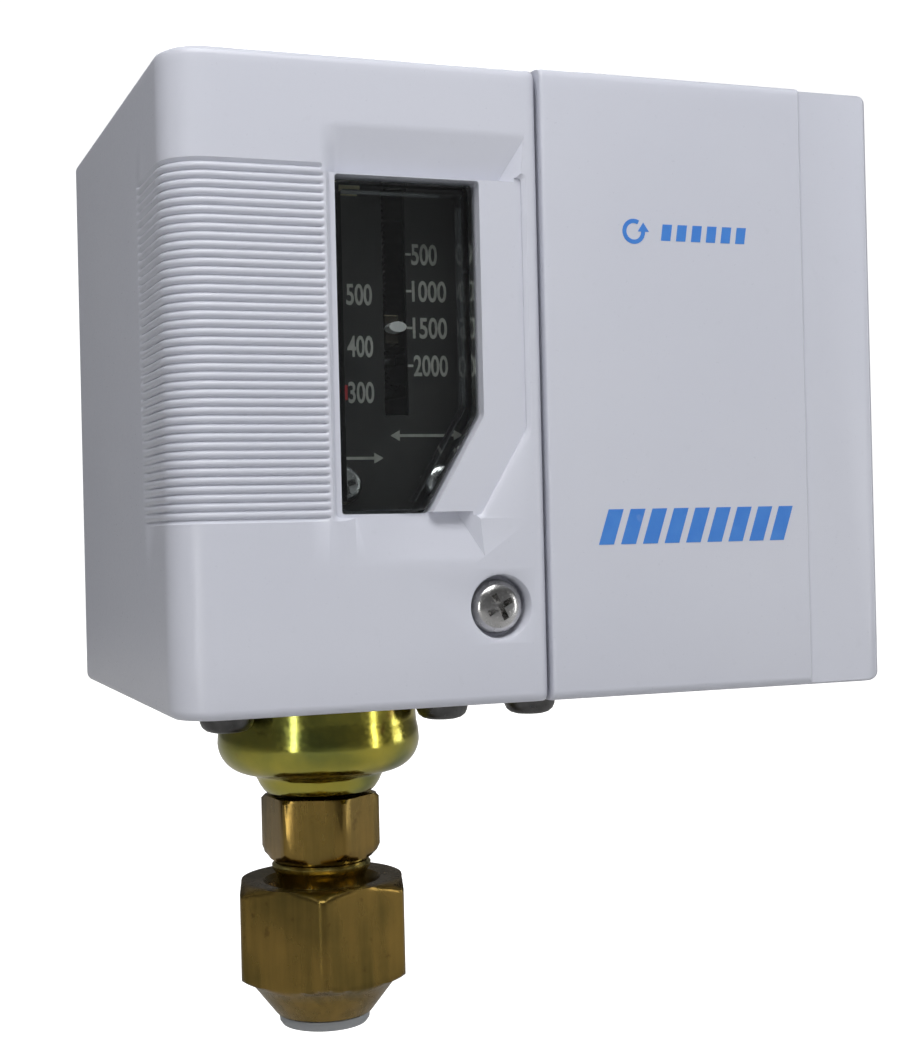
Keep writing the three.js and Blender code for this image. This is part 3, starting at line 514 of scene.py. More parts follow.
class Finishes:
    """Every finish of the switch, built once and named for what it is."""

    def __init__(self) -> None:
        """Build the materials."""
        sheet = (60.0, 1500.0, 1500.0)
        self.cover = Finish(
            "cover moulding", (0.615, 0.625, 0.69), (0.585, 0.597, 0.668), (0.5, 0.51, 0.56),
            rough=(0.27, 0.4), blotch_scale=24, grain_scale=3200, speck_amount=0.12, relief=0.12,
            relief_depth=0.00001,
        ).material()
        self.pane = Finish(
            "clear_pane", (0.95, 0.98, 0.98), (0.9, 0.95, 0.95), (0.8, 0.85, 0.85), rough=(0.02, 0.05),
            clear=1.0, relief=0.03, specular=0.2,
        ).material()
        self.zinc = Finish(
            "zinc plate", grey(0.62, -0.01), grey(0.48, -0.02), grey(0.3), metal=1.0, rough=(0.24, 0.42),
            blotch_scale=220, stretch=sheet, pattern_strength=0.35, relief=0.15,
        ).material()
        self.screw = Finish(
            "nickel screw", grey(0.66, 0.01), grey(0.5, 0.02), grey(0.25), metal=1.0, rough=(0.14, 0.3),
            blotch_scale=500, grain_scale=6000, speck_amount=0.5, relief=0.2,
        ).material()
        self.floor_screw = Finish(
            "dark zinc screw", grey(0.13, 0.01), grey(0.08, 0.02), grey(0.04), metal=1.0,
            rough=(0.25, 0.45), blotch_scale=500, relief=0.2,
        ).material()
        self.chromate = Finish(
            "yellow chromate", (0.52, 0.44, 0.065), (0.22, 0.24, 0.055), (0.34, 0.16, 0.04), metal=1.0,
            rough=(0.1, 0.24), blotch_scale=130, speck_scale=420, speck_amount=0.45, relief=0.08, coat=0.2,
        ).material()
        self.brass = Finish(
            "milled brass", (0.3, 0.19, 0.05), (0.1, 0.078, 0.022), (0.06, 0.028, 0.01), metal=1.0,
            rough=(0.2, 0.36), blotch_scale=110, stretch=(900.0, 900.0, 90.0), speck_amount=0.35,
            pattern_strength=0.4, relief=0.25,
        ).material()
        self.turned_brass = Finish(
            "turned brass", (0.55, 0.45, 0.13), (0.34, 0.28, 0.09), (0.22, 0.14, 0.06), metal=1.0,
            rough=(0.16, 0.3), rings=1400.0, pattern_strength=0.35, relief=0.2,
        ).material()
        self.bronze = Finish(
            "bellows bronze", (0.66, 0.45, 0.22), (0.5, 0.33, 0.15), (0.3, 0.16, 0.1), metal=1.0,
            rough=(0.2, 0.38), blotch_scale=180, relief=0.15,
        ).material()
        self.spring = Finish(
            "spring wire", grey(0.4, -0.01), grey(0.28), grey(0.15), metal=1.0, rough=(0.25, 0.42),
            stretch=(2600.0, 2600.0, 120.0), relief=0.2,
        ).material()
        self.dial = Finish(
            "dial paint", (0.02, 0.0185, 0.0175), (0.028, 0.026, 0.024), (0.05, 0.048, 0.044),
            rough=(0.42, 0.6), blotch_scale=120, relief=0.15, specular=0.4,
        ).material()
        self.phenolic = Finish(
            "phenolic moulding", (0.02, 0.017, 0.015), (0.034, 0.028, 0.023), (0.09, 0.07, 0.05),
            rough=(0.3, 0.5), blotch_scale=300, speck_scale=1500, relief=0.2,
        ).material()
        self.white = Finish(
            "white pointer", (0.86, 0.86, 0.84), (0.78, 0.78, 0.76), (0.6, 0.6, 0.58), rough=(0.3, 0.42),
        ).material()
        self.print_white = Finish(
            "white print", (0.52, 0.51, 0.47), (0.4, 0.4, 0.36), (0.22, 0.22, 0.2), rough=(0.5, 0.65),
            blotch_scale=900,
        ).material()
        self.tab = Finish(
            "pale tab", (0.6, 0.56, 0.36), (0.5, 0.47, 0.3), (0.36, 0.34, 0.25), rough=(0.5, 0.65),
            blotch_scale=900,
        ).material()
        self.dark_brass = Finish(
            "dark seat metal", (0.1, 0.085, 0.06), (0.06, 0.05, 0.04), (0.03, 0.03, 0.02), metal=1.0,
            rough=(0.3, 0.45), blotch_scale=300, relief=0.2,
        ).material()
        self.red = Finish(
            "red moulding", (0.62, 0.035, 0.04), (0.5, 0.03, 0.035), (0.3, 0.02, 0.02), rough=(0.3, 0.45),
        ).material()
        self.blue = Finish(
            "blue print", (0.045, 0.2, 0.62), (0.06, 0.23, 0.64), (0.2, 0.34, 0.66), rough=(0.42, 0.55),
            blotch_scale=500,
        ).material()
        self.plug = Finish(
            "grey plug", grey(0.34, -0.03), grey(0.28, -0.03), grey(0.2), rough=(0.45, 0.6),
            blotch_scale=200, relief=0.2,
        ).material()
        self.rubber = Finish(
            "black rubber", grey(0.022), grey(0.034), grey(0.07), rough=(0.55, 0.75), blotch_scale=200,
            relief=0.35,
        ).material()
        self.fibre = Finish(
            "fibre sheet", (0.3, 0.25, 0.19), (0.24, 0.2, 0.15), (0.42, 0.36, 0.28), rough=(0.7, 0.85),
            stretch=(90.0, 1800.0, 1800.0), relief=0.4,
        ).material()
        self.earth = Finish(
            "green earth screw", (0.05, 0.22, 0.09), (0.04, 0.17, 0.07), (0.3, 0.3, 0.28), metal=0.4,
            rough=(0.25, 0.4),
        ).material()


def dress(obj: Object, material: Material, body: str, *nodes: str) -> Object:
    """Give a new piece its finish and body, and hide the plain nodes that it stands for."""
    obj.data.materials.clear()
    obj.data.materials.append(material)
    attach(obj, body)
    if nodes:
        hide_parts(*nodes)
    LOG.info("made %s on %s", obj.name, body)
    return obj


# ---------------------------------------------------------------- covers
@dataclass
class CoverShell:
    """A thin cover: its plan is carried up the wall, round the top edge and over the top.

    Columns follow the plan from one end to the other, and rows run from the bottom lip up the wall
    to the far top corner, where they meet in one point. The inner face has the same rows and
    columns, drawn in by the wall's thickness.
    """

    name: str
    left: float
    right: float
    top: float
    corner: float
    corner_on_left: bool
    seam_round: float
    wall: float = 1.8
    edge: float = 1.0
    back: float = 55.2
    lip: float = 3.2
    arc_steps: int = 14
    front_stops: tuple[float, ...] = ()
    side_stops: tuple[float, ...] = ()
    heights: Points = field(default_factory=lambda: np.linspace(1.0, 62.0, 8))
    pad: tuple[float, float, float, float] | None = None
    pad_depth: float = 1.8

    def plan(self) -> tuple[Points, Points]:
        """Return the plan's points and outward directions, along the side and front to the seam."""
        r, s, short = self.corner, self.seam_round, 0.02
        outer = self.left if self.corner_on_left else self.right
        inner = self.right if self.corner_on_left else self.left
        sign = 1.0 if self.corner_on_left else -1.0
        points, ways = [], []
        for y in (self.back, *self.side_stops, r + 0.4):
            points.append((outer, y))
            ways.append((-sign, 0.0))
        for turn in np.linspace(0, math.pi / 2, self.arc_steps + 1):
            ways.append((-sign * math.cos(turn), -math.sin(turn)))
            points.append((outer + sign * r * (1 - math.cos(turn)), r * (1 - math.sin(turn))))
        for x in (*self.front_stops, inner - sign * (s + 0.3)):
            points.append((x, 0.0))
            ways.append((0.0, -1.0))
        for turn in np.linspace(0, math.pi / 2, 6):
            ways.append((0.0, -1.0))
            # The curve stops just short of the seam, so that its last points aren't in line with the end.
            points.append((inner - sign * (short + s * (1 - math.sin(turn))), s * (1 - math.cos(turn))))
        points.append((inner, self.wall))
        ways.append((0.0, -1.0))
        return np.array(points), np.array(ways)

    def rows(self) -> list[Place]:
        """Return each row's inset, height and way along the top: 0 on the wall, 1 at the far corner."""
        r = self.edge
        turns = np.linspace(0, math.pi / 2, 6)
        low = [(r * (1 - math.sin(a)), r * (1 - math.cos(a)), 0.0) for a in turns]
        wall = [(0.0, float(z), 0.0) for z in self.heights]
        high = [(r * (1 - math.cos(a)), self.top - r + r * math.sin(a), 0.0) for a in turns]
        return [(-1.0, 0.0, 0.0), *low, *wall, *high, (r, self.top, 0.5), (r, self.top, 1.0)]

    def relief(self, points: Points, ways: Points) -> Points:
        """Draw the outer face in where it has a relief; a plain cover has none."""
        return points

    def skin(self, inside: bool) -> Points:
        """Work out one face: place = plan - way * inset, lifted to the row's height."""
        plan, ways = self.plan()
        far = np.array([self.right if self.corner_on_left else self.left, self.back])
        side_on = np.abs(ways[:, 0:1])
        grid = []
        for inset, height, along in self.rows():
            lip = inset < 0
            if lip:
                reach = self.wall + (self.lip - self.wall) * (1 - side_on)
            else:
                reach = np.full_like(side_on, max(inset, self.wall) if inside else inset)
            z = np.clip(height, self.wall, self.top - self.wall) if inside else height
            flat = plan - ways * reach
            if inside:
                flat[:, 1] = np.where(ways[:, 1] < -0.999, reach[:, 0], flat[:, 1])
            flat = flat + (far - flat) * along
            row = np.column_stack([flat, np.full(len(flat), z)])
            if inside and self.pad and not lip and along == 0:
                row = self.padded(row, ways)
            grid.append(row)
        out = np.array(grid)
        return out if inside else self.relief(out, ways)

    def padded(self, row: Points, ways: Points) -> Points:
        """Thicken the wall behind the pocket."""
        x0, x1, z0, z1 = self.pad
        z = row[0, 2]
        inside = (row[:, 0] > x0) & (row[:, 0] < x1) & (ways[:, 1] < -0.99) & (z0 < z < z1)
        row[:, 1] = np.where(inside, self.wall + self.pad_depth, row[:, 1])
        return row

    def build(self) -> Object:
        """Join the two faces along the lip and both ends."""
        outer, inner = self.skin(False), self.skin(True)
        rows, cols = outer.shape[:2]
        count = rows * cols
        points = np.concatenate([outer.reshape(-1, 3), inner.reshape(-1, 3)])
        faces = quads(rows, cols)
        faces += [tuple(count + k for k in f[::-1]) for f in quads(rows, cols)]
        for j in range(cols - 1):
            faces.append((j + 1, j, count + j, count + j + 1))
        for i in range(rows - 1):
            a, b = i * cols, (i + 1) * cols
            faces.append((a, b, count + b, count + a))
            faces.append((b - 1 + cols, b - 1, count + b - 1, count + b - 1 + cols))
        return piece(self.name, points, faces)


@dataclass
class RibbedShell(CoverShell):
    """The window cover's shell, with the finger grip round its corner.

    The groove's depth at a height is |cos|^5 of the way through a rib, which keeps the ribs broad
    and the grooves narrow. It fades out at both ends of the grip.
    """

    grip_low: float = 18.9
    grip_high: float = 52.7
    grip_end: float = 15.3
    grip_back: Pair = (12.7, 14.4)
    ribs: int = 41
    groove: float = 0.34

    def __post_init__(self) -> None:
        """Set rows that follow the ribs, and columns at the grip's ends."""
        per_rib = 8
        # Rows at 13.6 to 14.0 and 57.3 to 57.7 and columns at 12.8 to 13.2 hold the thickened wall's edges.
        ribbed = np.linspace(self.grip_low, self.grip_high, self.ribs * per_rib + 1)
        low = [1.0, 6.0, 13.6, 14.0, self.grip_low - 0.35]
        high = [self.grip_high + 0.35, 57.3, 57.7, self.top - self.edge - 0.6]
        self.heights = np.concatenate([low, ribbed, high])
        self.front_stops = (7.0, 10.0, 12.8, 13.2, self.grip_end - 0.25, self.grip_end, 16.6, 22.0, 30.0)
        self.side_stops = (34.0, 20.0, 15.2, 14.4, 14.0, 12.0, 8.0)

    def relief(self, points: Points, ways: Points) -> Points:
        """Cut the grooves into the outer face."""
        z = points[..., 2]
        span = (z - self.grip_low) / (self.grip_high - self.grip_low)
        groove = np.abs(np.cos(math.pi * (span * self.ribs))) ** 5
        band = (z >= self.grip_low - 1e-6) & (z <= self.grip_high + 1e-6)
        back = self.grip_back[0] + (self.grip_back[1] - self.grip_back[0]) * np.sqrt(np.clip(span * 3, 0, 1))
        along_side = np.clip((back - points[..., 1]) / 0.5, 0, 1)
        along_front = np.clip((self.grip_end - points[..., 0]) / 0.25, 0, 1)
        depth = self.groove * groove * band * along_side * along_front
        outward = np.concatenate([ways, np.zeros((len(ways), 1))], axis=1)
        return points - outward[None] * depth[..., None]


@dataclass
class Covers:
    """The two covers, the clear pane and the marks on them."""

    finishes: Finishes
    seam: float = 38.1
    gap: float = 0.15
    opening: tuple[Pair, ...] = (
        (16.6, 19.2), (25.9, 19.2), (31.6, 28.8), (31.6, 52.2), (16.6, 52.2),
    )
    shelf: tuple[Pair, ...] = (
        (15.9, 18.9), (31.0, 18.9), (36.1, 27.4), (36.1, 52.7), (15.9, 52.7),
    )
    shelf_depth: float = 0.6
    ramp_depth: float = 2.0
    ramp_high: float = 56.5
    ramp_low: float = 14.8
    screw: Pair = (32.8, 9.7)
    adjusters: tuple[Place, ...] = ((25.2, 18.0, 3.6), (14.9, 18.0, 3.4))
    strip_left: float = 68.6
    strip_step: float = 0.35

    def window_cuts(self) -> list[Object]:
        """Shape the solids that leave the window, its ramps and the screw's places."""
        past, soft = 0.6, 0.18
        shelf = np.array(self.shelf)
        wide = rounded(shelf + np.sign(shelf - shelf.mean(axis=0)) * soft * 2, 0.5)
        narrow = rounded(shelf, 0.5)
        high, low = self.shelf[3][1], self.shelf[0][1]
        cuts = [
            loft("shelf_cut", [
                facing(wide, -past), facing(wide, -0.001), facing(narrow, soft * 2),
                facing(narrow, self.shelf_depth),
            ]),
            loft("window_cut", [facing(rounded(self.opening, 0.35), y) for y in (-past, 6.0)]),
            self.ramp("upper_ramp", (14.8, 17.4), (36.3, 34.3), self.ramp_high, high, high - 0.4),
            self.ramp("lower_ramp", (15.6, 24.5), (31.1, 29.1), self.ramp_low, low, low + 0.4),
        ]
        cuts.append(turned("screw_recess", [
            (0, -past), (3.55, -past), (3.55, -0.001), (3.3, 0.1), (3.18, 0.35), (3.1, 2.6), (1.75, 2.6),
            (1.75, 6.0), (0, 6.0),
        ], self.screw, Axis.BACK, 64))
        for ax, ay, radius in self.adjusters:
            cuts.append(turned("adjuster_hole", [
                (0, 60.0), (radius, 60.0), (radius, 63.5), (radius + 0.2, 63.701), (radius + 0.2, 65),
                (0, 65),
            ], (ax, ay), Axis.UP, 48))
        return cuts

    def ramp(self, name: str, left: Pair, right: Pair, outer: float, edge: float, inner: float) -> Object:
        """Shape one sloping cut: its face runs from the front at outer to its full depth at edge.

        Its right end is one slanting wall. Its left end eases in, as smoothstep of the way along.

        Args:
            name: The cut's name.
            left: Where its left end starts, and where it reaches full depth.
            right: The same for its right end.
            outer: The height where it reaches the front.
            edge: The height where it is deepest.
            inner: The height inside the window where the cut ends.

        Returns:
            The solid.
        """
        full, start, past = self.ramp_depth, -0.05, -0.6
        sections = []
        for t in np.linspace(0, 1, 9):
            deep = start + (full - start) * t * t * (3 - 2 * t)
            x = left[0] + (left[1] - left[0]) * t
            sections.append(np.array([
                (x, past, outer), (x, min(deep, 0.0), outer), (x, deep, edge), (x, deep, inner),
                (x, past, inner),
            ]))
        front, far = right
        sections.append(np.array([
            (front, past, outer), (front, 0.0, outer), (far, full, edge), (far, full, inner),
            (front, past, inner),
        ]))
        return loft(name, sections)

    def window_cover(self) -> None:
        """Make the left cover, ribbed, with its window and recess."""
        shell = RibbedShell("window_cover_shell", 0.0, self.seam - self.gap, 63.7, 4.4, True, 1.2,
                            pad=(12.9, 38.5, 13.8, 57.5))
        cover = shell.build()
        outline = [(0, 1.2), (4.8, 1.2), (4.8, 3.3), (4.7, 3.4), (0, 3.4)]
        boss = turned("boss", outline, self.screw, Axis.BACK, 48)
        carve(cover, self.window_cuts(), [boss])
        dress(cover, self.finishes.cover, "window_cover_shell", "window_cover")

    def pane(self) -> None:
        """Make the clear pane: a raised window with a flange behind the opening."""
        clear = 0.3
        opening = np.array(self.opening)
        ways = np.sign(opening - opening.mean(axis=0))

        def outline(change: float, y: float) -> Points:
            return facing(rounded(opening + ways * change, 0.4), y)

        glass = loft("clear_pane", [
            outline(-clear - 0.15, 1.6), outline(-clear, 1.75), outline(-clear, 3.9), outline(1.6, 3.9),
            outline(1.6, 5.1),
        ])
        hollow = loft("pane_hollow", [outline(-clear - 0.8, y) for y in (2.7, 6.0)])
        carve(glass, [hollow])
        shade(glass.data, CRISP)
        dress(glass, self.finishes.pane, "window_cover_shell", "window_pane")

    def terminal_cover(self) -> None:
        """Make the right cover with the stepped strip at its end."""
        width, top = 77.8, 64.0
        shell = CoverShell("terminal_cover_shell", self.seam + self.gap, width, top, 2.4, False, 0.35,
                           arc_steps=10, front_stops=(70.0, 68.6, 60.0, 46.0), side_stops=(30.0, 12.0))
        cover = shell.build()
        step, left = self.strip_step, self.strip_left
        face = [(left - 0.3, -0.001), (left, step), (width + 2, step), (width + 2, -2), (left - 0.3, -2)]
        front = loft("strip_front", [np.array([(x, y, z) for x, y in face]) for z in (-2.0, top + 2)])
        roof = [(left - 0.3, top + 0.001), (left, top - step), (width + 2, top - step), (width + 2, top + 2),
                (left - 0.3, top + 2)]
        over = loft("strip_top", [facing(roof, y) for y in (-2.0, 60.0)])
        carve(cover, [front, over])
        dress(cover, self.finishes.cover, "terminal_cover_shell", "terminal_cover")

    def marks(self) -> None:
        """Print plain blue marks where the real cover is printed: a reset arrow with bars, and a band."""
        lift = 0.03
        bars: list[Points] = []
        for k in range(6):
            x = 51.5 + k * 1.75
            bars.append(np.array([(x, 46.9), (x + 1.1, 46.9), (x + 1.35, 48.6), (x + 0.25, 48.6)]))
        for k in range(9):
            x = 43.6 + k * 2.5
            bars.append(np.array([(x, 15.6), (x + 1.7, 15.6), (x + 2.9, 19.2), (x + 1.2, 19.2)]))
        ring_x, ring_z = 48.4, 47.75
        turn = np.radians(np.linspace(60, 360, 22))
        for a, b in zip(turn[:-1], turn[1:]):
            bars.append(np.array([
                (ring_x + r * math.cos(t), ring_z + r * math.sin(t))
                for r, t in ((0.85, a), (1.3, a), (1.3, b), (0.85, b))
            ]))
        tip = [(ring_x + 0.45, ring_z), (ring_x + 1.75, ring_z), (ring_x + 1.1, ring_z + 0.95)]
        bars.append(np.array(tip))
        stamp("blue_marks", bars, 0.0, lift, self.finishes.blue, "terminal_cover_shell")


def stamp(
    name: str, shapes: Sequence[Points], face: float, lift: float, material: Material, body: str
) -> Object:
    """Print flat (x, z) shapes, a hair thick, on a face at one depth."""
    points, faces = [], []
    for shape in shapes:
        start, count = len(points), len(shape)
        for y in (face - lift, face - 0.001):
            points += [(x, y, z) for x, z in shape]
        faces.append(tuple(range(start, start + count)))
        faces.append(tuple(range(start + 2 * count - 1, start + count - 1, -1)))
        for k in range(count):
            n = (k + 1) % count
            faces.append((start + k, start + count + k, start + count + n, start + n))
    mesh = drawn(name, np.array(points), faces)
    with opened(mesh) as bm:
        bmesh.ops.recalc_face_normals(bm, faces=bm.faces)
    return dress(linked(name, mesh), material, body)


# ---------------------------------------------------------------- pressure element
def six_sided(flats: float, corner_turn: float, soft: float = 0.12) -> Callable[[Points, Points], Points]:
    """Return the trim of a hexagon: radius = flats / 2 / cos(turn from the nearest flat's middle).

    The corner is eased by holding the radius a little under the sharp corner's.
    """

    def trim(turn: Points, radius: Points) -> Points:
        off = (turn - math.radians(corner_turn)) % (math.pi / 3) - math.pi / 6
        flat = flats / 2 / np.cos(off)
        return np.minimum(radius, np.minimum(flat, flats / math.sqrt(3) - soft))

    return trim


def hexagon_turns(corner_turn: float) -> Points:
    """Return angles that crowd towards the hexagon's corners."""
    half = np.array([0.0, 1.2, 2.4, 3.6, 6, 10, 15, 20, 25, 30])
    one = np.concatenate([half, 60 - half[1:-1][::-1]])
    return np.radians(np.concatenate([corner_turn + 60 * k + one for k in range(6)]))


@dataclass
class Element:
    """The pressure element under the case: cup, union, flare nut, plug and what is inside."""

    finishes: Finishes
    x: float = 18.7
    y: float = 18.0
    union_turn: float = 277.0
    nut_turn: float = 254.0
    nut_flats: float = 17.0
    hex_flats: float = 11.0

    @property
    def centre(self) -> Pair:
        """The axis that the whole element is turned about."""
        return self.x, self.y

    def cup(self) -> None:
        """Turn the pressed cup, with its rolled shoulder and the collar that is brazed under it."""
        outer = [
            (2.2, -9.7), (5.75, -9.7), (5.95, -9.5), (6.35, -8.9), (6.6, -8.35), (6.85, -7.95), (7.3, -7.7),
            *arc((7.4, -4.35), 3.3, -82, -2, 16),
            (10.62, -3.4), (10.45, -2.6), (10.4, -1.8), (10.4, 3.0),
        ]
        inner = [(9.5, 3.0), (9.5, -4.2), (9.2, -5.2), (8.6, -6.0), (7.6, -6.7), (2.2, -6.9)]
        cup = turned("element_cup", outer + inner, self.centre, sides=112, ring=True)
        dress(cup, self.finishes.chromate, ROOT, "bellows_cup")

    def union(self) -> None:
        """Turn the union: a milled hexagon with turned ends, a waisted neck and the flare thread."""
        flats = self.hex_flats
        corner = flats / math.sqrt(3)
        profile = [
            (1.6, -10.0), (corner - 1.1, -10.0), (corner - 0.4, -10.2), (corner, -10.55), (corner, -15.6),
            (corner - 0.35, -16.2), (corner - 0.9, -16.75), (corner - 1.4, -17.1), (4.9, -17.15),
        ]
        body = turned("union_hexagon", [*profile, (1.6, -17.15)], self.centre, ring=True,
                      trim=six_sided(flats, self.union_turn, 0.05), turns=hexagon_turns(self.union_turn))
        dress(body, self.finishes.brass, ROOT, "flare_union")
        thread = self.thread_profile(5.3, -20.6, -24.8, 1.27, 0.55)
        neck = [
            (1.6, -17.2), (5.0, -17.2), (5.25, -17.5), (5.2, -17.9), (4.75, -18.5), (4.6, -19.2),
            (4.7, -19.9), (5.0, -20.4), *thread, (4.7, -25.4), (2.6, -27.4), (1.6, -27.4),
        ]
        stem = turned("union_neck", neck, self.centre, sides=80, ring=True)
        dress(stem, self.finishes.turned_brass, ROOT)

    @staticmethod
    def thread_profile(radius: float, start: float, end: float, pitch: float, depth: float) -> list[Pair]:
        """Return a ridged outline: crest, flank and root, one pitch after another."""
        out = []
        for k in range(int(abs(end - start) / pitch)):
            z = start - k * pitch
            out += [(radius, z), (radius, z - pitch * 0.2), (radius - depth, z - pitch * 0.55),
                    (radius, z - pitch * 0.95)]
        return out

    def nut(self) -> None:
        """Turn the flare nut: a hexagon whose ends are chamfered, with a coned nose and a tube hole."""
        corner = self.nut_flats / math.sqrt(3)
        top = [(8.0, -19.0), (8.55, -19.05), (8.95, -19.3), (9.3, -19.55), (9.6, -19.8),
               (corner + 0.1, -20.1)]
        side = [(corner + 0.1, z) for z in np.linspace(-20.6, -28.4, 6)]
        low = [(9.5, -28.75), (9.0, -29.1), (8.4, -29.4), (7.6, -29.9), (6.9, -30.8), (6.2, -31.7),
               (5.5, -32.6), (5.1, -33.1)]
        inside = [(3.2, -33.1), (3.2, -29.6), (5.6, -27.3), (5.6, -20.0), (6.2, -19.2)]
        nut = turned("flare_nut_body", [*top, *side, *low, *inside], self.centre, ring=True,
                     trim=six_sided(self.nut_flats, self.nut_turn, 0.16), turns=hexagon_turns(self.nut_turn))
        dress(nut, self.finishes.brass, "flare_nut", "flare_nut")

    def plug(self) -> None:
        """Turn the soft plug that closes the nut."""
        profile = [
            (0, -34.45), (3.9, -34.45), (4.5, -34.3), (4.75, -33.95), (4.8, -33.5), (4.8, -33.3),
            (4.5, -33.26), (2.9, -33.25), (2.85, -29.6), (2.5, -28.7), (0, -28.65),
        ]
        dress(turned("nut_plug", profile, self.centre), self.finishes.plug, "dust_plug", "dust_plug")

    def bellows(self) -> None:
        """Turn the bellows.

        Its radius is a mean less a swing of the fold's cosine, whose crests tanh broadens.
        """
        folds, low, high = 7, -5.8, 9.6
        t = np.linspace(0, 1, folds * 16 + 1)
        radius = 7.35 + 0.85 * np.tanh(2.2 * -np.cos(t * folds * TAU)) / math.tanh(2.2)
        profile = [(0, low), *zip(radius, low + t * (high - low)), (0, high)]
        made = turned("bellows_folds", profile, self.centre)
        made.data.materials.append(self.finishes.bronze)
        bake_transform(made)
        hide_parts("bellows")
        brass = self.finishes.turned_brass
        cap = [(0, 9.9), (7.9, 9.9), (8.2, 10.15), (8.2, 10.9), (7.9, 11.1), (0, 11.1)]
        dress(turned("bellows_disc", cap, self.centre), brass, "push_rod", "bellows_cap")
        rod = [(0, 11.4), (2.6, 11.4), (2.6, 16.3), (2.2, 16.8), (1.8, 17.4), (1.8, 20.6), (1.45, 21.1),
               (0, 21.4)]
        dress(turned("thrust_rod", rod, self.centre, sides=40), brass, "push_rod", "push_rod")

    def build(self) -> None:
        """Make every piece of the element."""
        self.cup()
        self.union()
        self.nut()
        self.plug()
        self.bellows()


# ---------------------------------------------------------------- springs
def coil(
    name: str, centre: Pair, radius: float, wire: float, low: float, high: float, turns: float
) -> Object:
    """Wind a spring: centre line = (r cos a, r sin a, height), with the end turns lying flat.

    The height rises with the turn, but slowly in the first and last turn, and the wire's outline is
    carried round it.
    """
    per_turn, sides = 40, 14
    steps = int(turns * per_turn)
    t = np.linspace(0, 1, steps + 1)
    ease = np.clip(t * (turns + 1.4) - 0.7, 0, turns) / turns
    rise = low + wire / 2 + ease * (high - low - wire)
    angle = t * turns * TAU
    across = np.linspace(0, TAU, sides, endpoint=False)
    reach = radius + wire / 2 * np.cos(across)[None, :]
    a = angle[:, None]
    grid = np.stack([
        centre[0] + reach * np.cos(a), centre[1] + reach * np.sin(a),
        rise[:, None] + wire / 2 * np.sin(across)[None, :] + 0 * reach,
    ], axis=-1)
    faces = quads(steps + 1, sides, round_cols=True)
    faces += [tuple(range(sides)), tuple(range(steps * sides, (steps + 1) * sides))]
    return piece(name, grid.reshape(-1, 3), faces)


@dataclass
class Adjuster:
    """One adjuster: a slotted screw and the spring under the seat that it drives."""

    finishes: Finishes
    name: str
    x: float
    y: float
    radius: float
    low: float
    head: float
    spring_radius: float
    wire: float
    turns: float
    spring_low: float
    seat_low: float

    def build(self) -> None:
        """Make the screw and the spring; the seat is one of the eased plain nodes."""
        seat, top = 59.8, 61.6
        pitch, r, h = 0.7, self.radius, self.head
        thread = []
        for k in range(int((seat - self.low - 2) / pitch)):
            z = self.low + 0.6 + k * pitch
            thread += [(r - 0.3, z), (r, z + pitch * 0.45), (r, z + pitch * 0.55)]
        profile = [
            (0, self.low), (r - 0.5, self.low), *thread, (r, seat - 1.2), (r, seat),
            (h - 0.15, seat), (h, seat + 0.15), (h, top - 0.4), (h - 0.3, top), (0, top),
        ]
        screw = turned(f"{self.name}_adjusting_screw", profile, (self.x, self.y), sides=56)
        half = 0.4
        front, back, low, high = self.y - half, self.y + half, top - 0.9, top + 1
        ends = [
            np.array([(x, front, low), (x, back, low), (x, back, high), (x, front, high)])
            for x in (self.x - h - 1, self.x + h + 1)
        ]
        carve(screw, [loft("slot", ends)])
        dress(screw, self.finishes.screw, f"{self.name}_screw", f"{self.name}_screw")
        spring = coil(f"{self.name}_wound_spring", (self.x, self.y), self.spring_radius, self.wire,
                      self.spring_low, self.seat_low, self.turns)
        spring.data.materials.append(self.finishes.spring)
        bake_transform(spring)
        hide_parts(f"{self.name}_spring")


# ---------------------------------------------------------------- screws
@dataclass
class CrossScrew:
    """A cross-recessed pan-head screw that faces the front or hangs under the floor."""

    name: str
    head: float
    height: float
    shank: float
    seat: float
    end: float

    def profile(self) -> list[Pair]:
        """Return the outline from the crown of the head to the shank's end, counted backwards."""
        crown = self.seat - self.height
        h = self.head
        curve = ((0.55, 0.02), (0.75, 0.1), (0.9, 0.26), (0.98, 0.5), (1, 0.75))
        dome = [(h * out, crown + self.height * down) for out, down in curve]
        return [(0, crown), *dome, (h, self.seat), (self.shank, self.seat), (self.shank, self.end - 0.4),
                (self.shank - 0.4, self.end), (0, self.end)]

    def cross(self, x: float, z: float, turn: float) -> list[Object]:
        """Shape the two tapered blades of the driver's recess."""
        crown = self.seat - self.height
        blades = []
        for k in range(2):
            a = math.radians(turn + 90 * k)
            c, s = math.cos(a), math.sin(a)
            rows = []
            ends = ((crown - 0.5, self.head * 0.62, 0.34), (crown + 1.1, self.head * 0.3, 0.2))
            for y, reach, thick in ends:
                corner = [(-reach, -thick), (reach, -thick), (reach, thick), (-reach, thick)]
                rows.append([(x + u * c - v * s, y, z + u * s + v * c) for u, v in corner])
            blades.append(loft("recess", [np.array(r) for r in rows]))
        return blades

    def facing_front(self, x: float, z: float, turn: float) -> Object:
        """Make the screw with its head to the front."""
        screw = turned(self.name, self.profile(), (x, z), Axis.BACK, 48)
        carve(screw, self.cross(x, z, turn))
        return screw

    def hanging(self, x: float, y: float, turn: float) -> Object:
        """Make the screw with its head below: the front-facing one, turned about its own axis line."""
        screw = turned(self.name, self.profile(), (0.0, 0.0), Axis.BACK, 40)
        carve(screw, self.cross(0.0, 0.0, turn))

        def stand(points: Points) -> Points:
            local = (points - np.array(CASE.corner)) / MM
            return CASE.place(np.stack([x + local[:, 0], y - local[:, 2], local[:, 1]], axis=1))

        moved(screw.data, stand)
        return screw


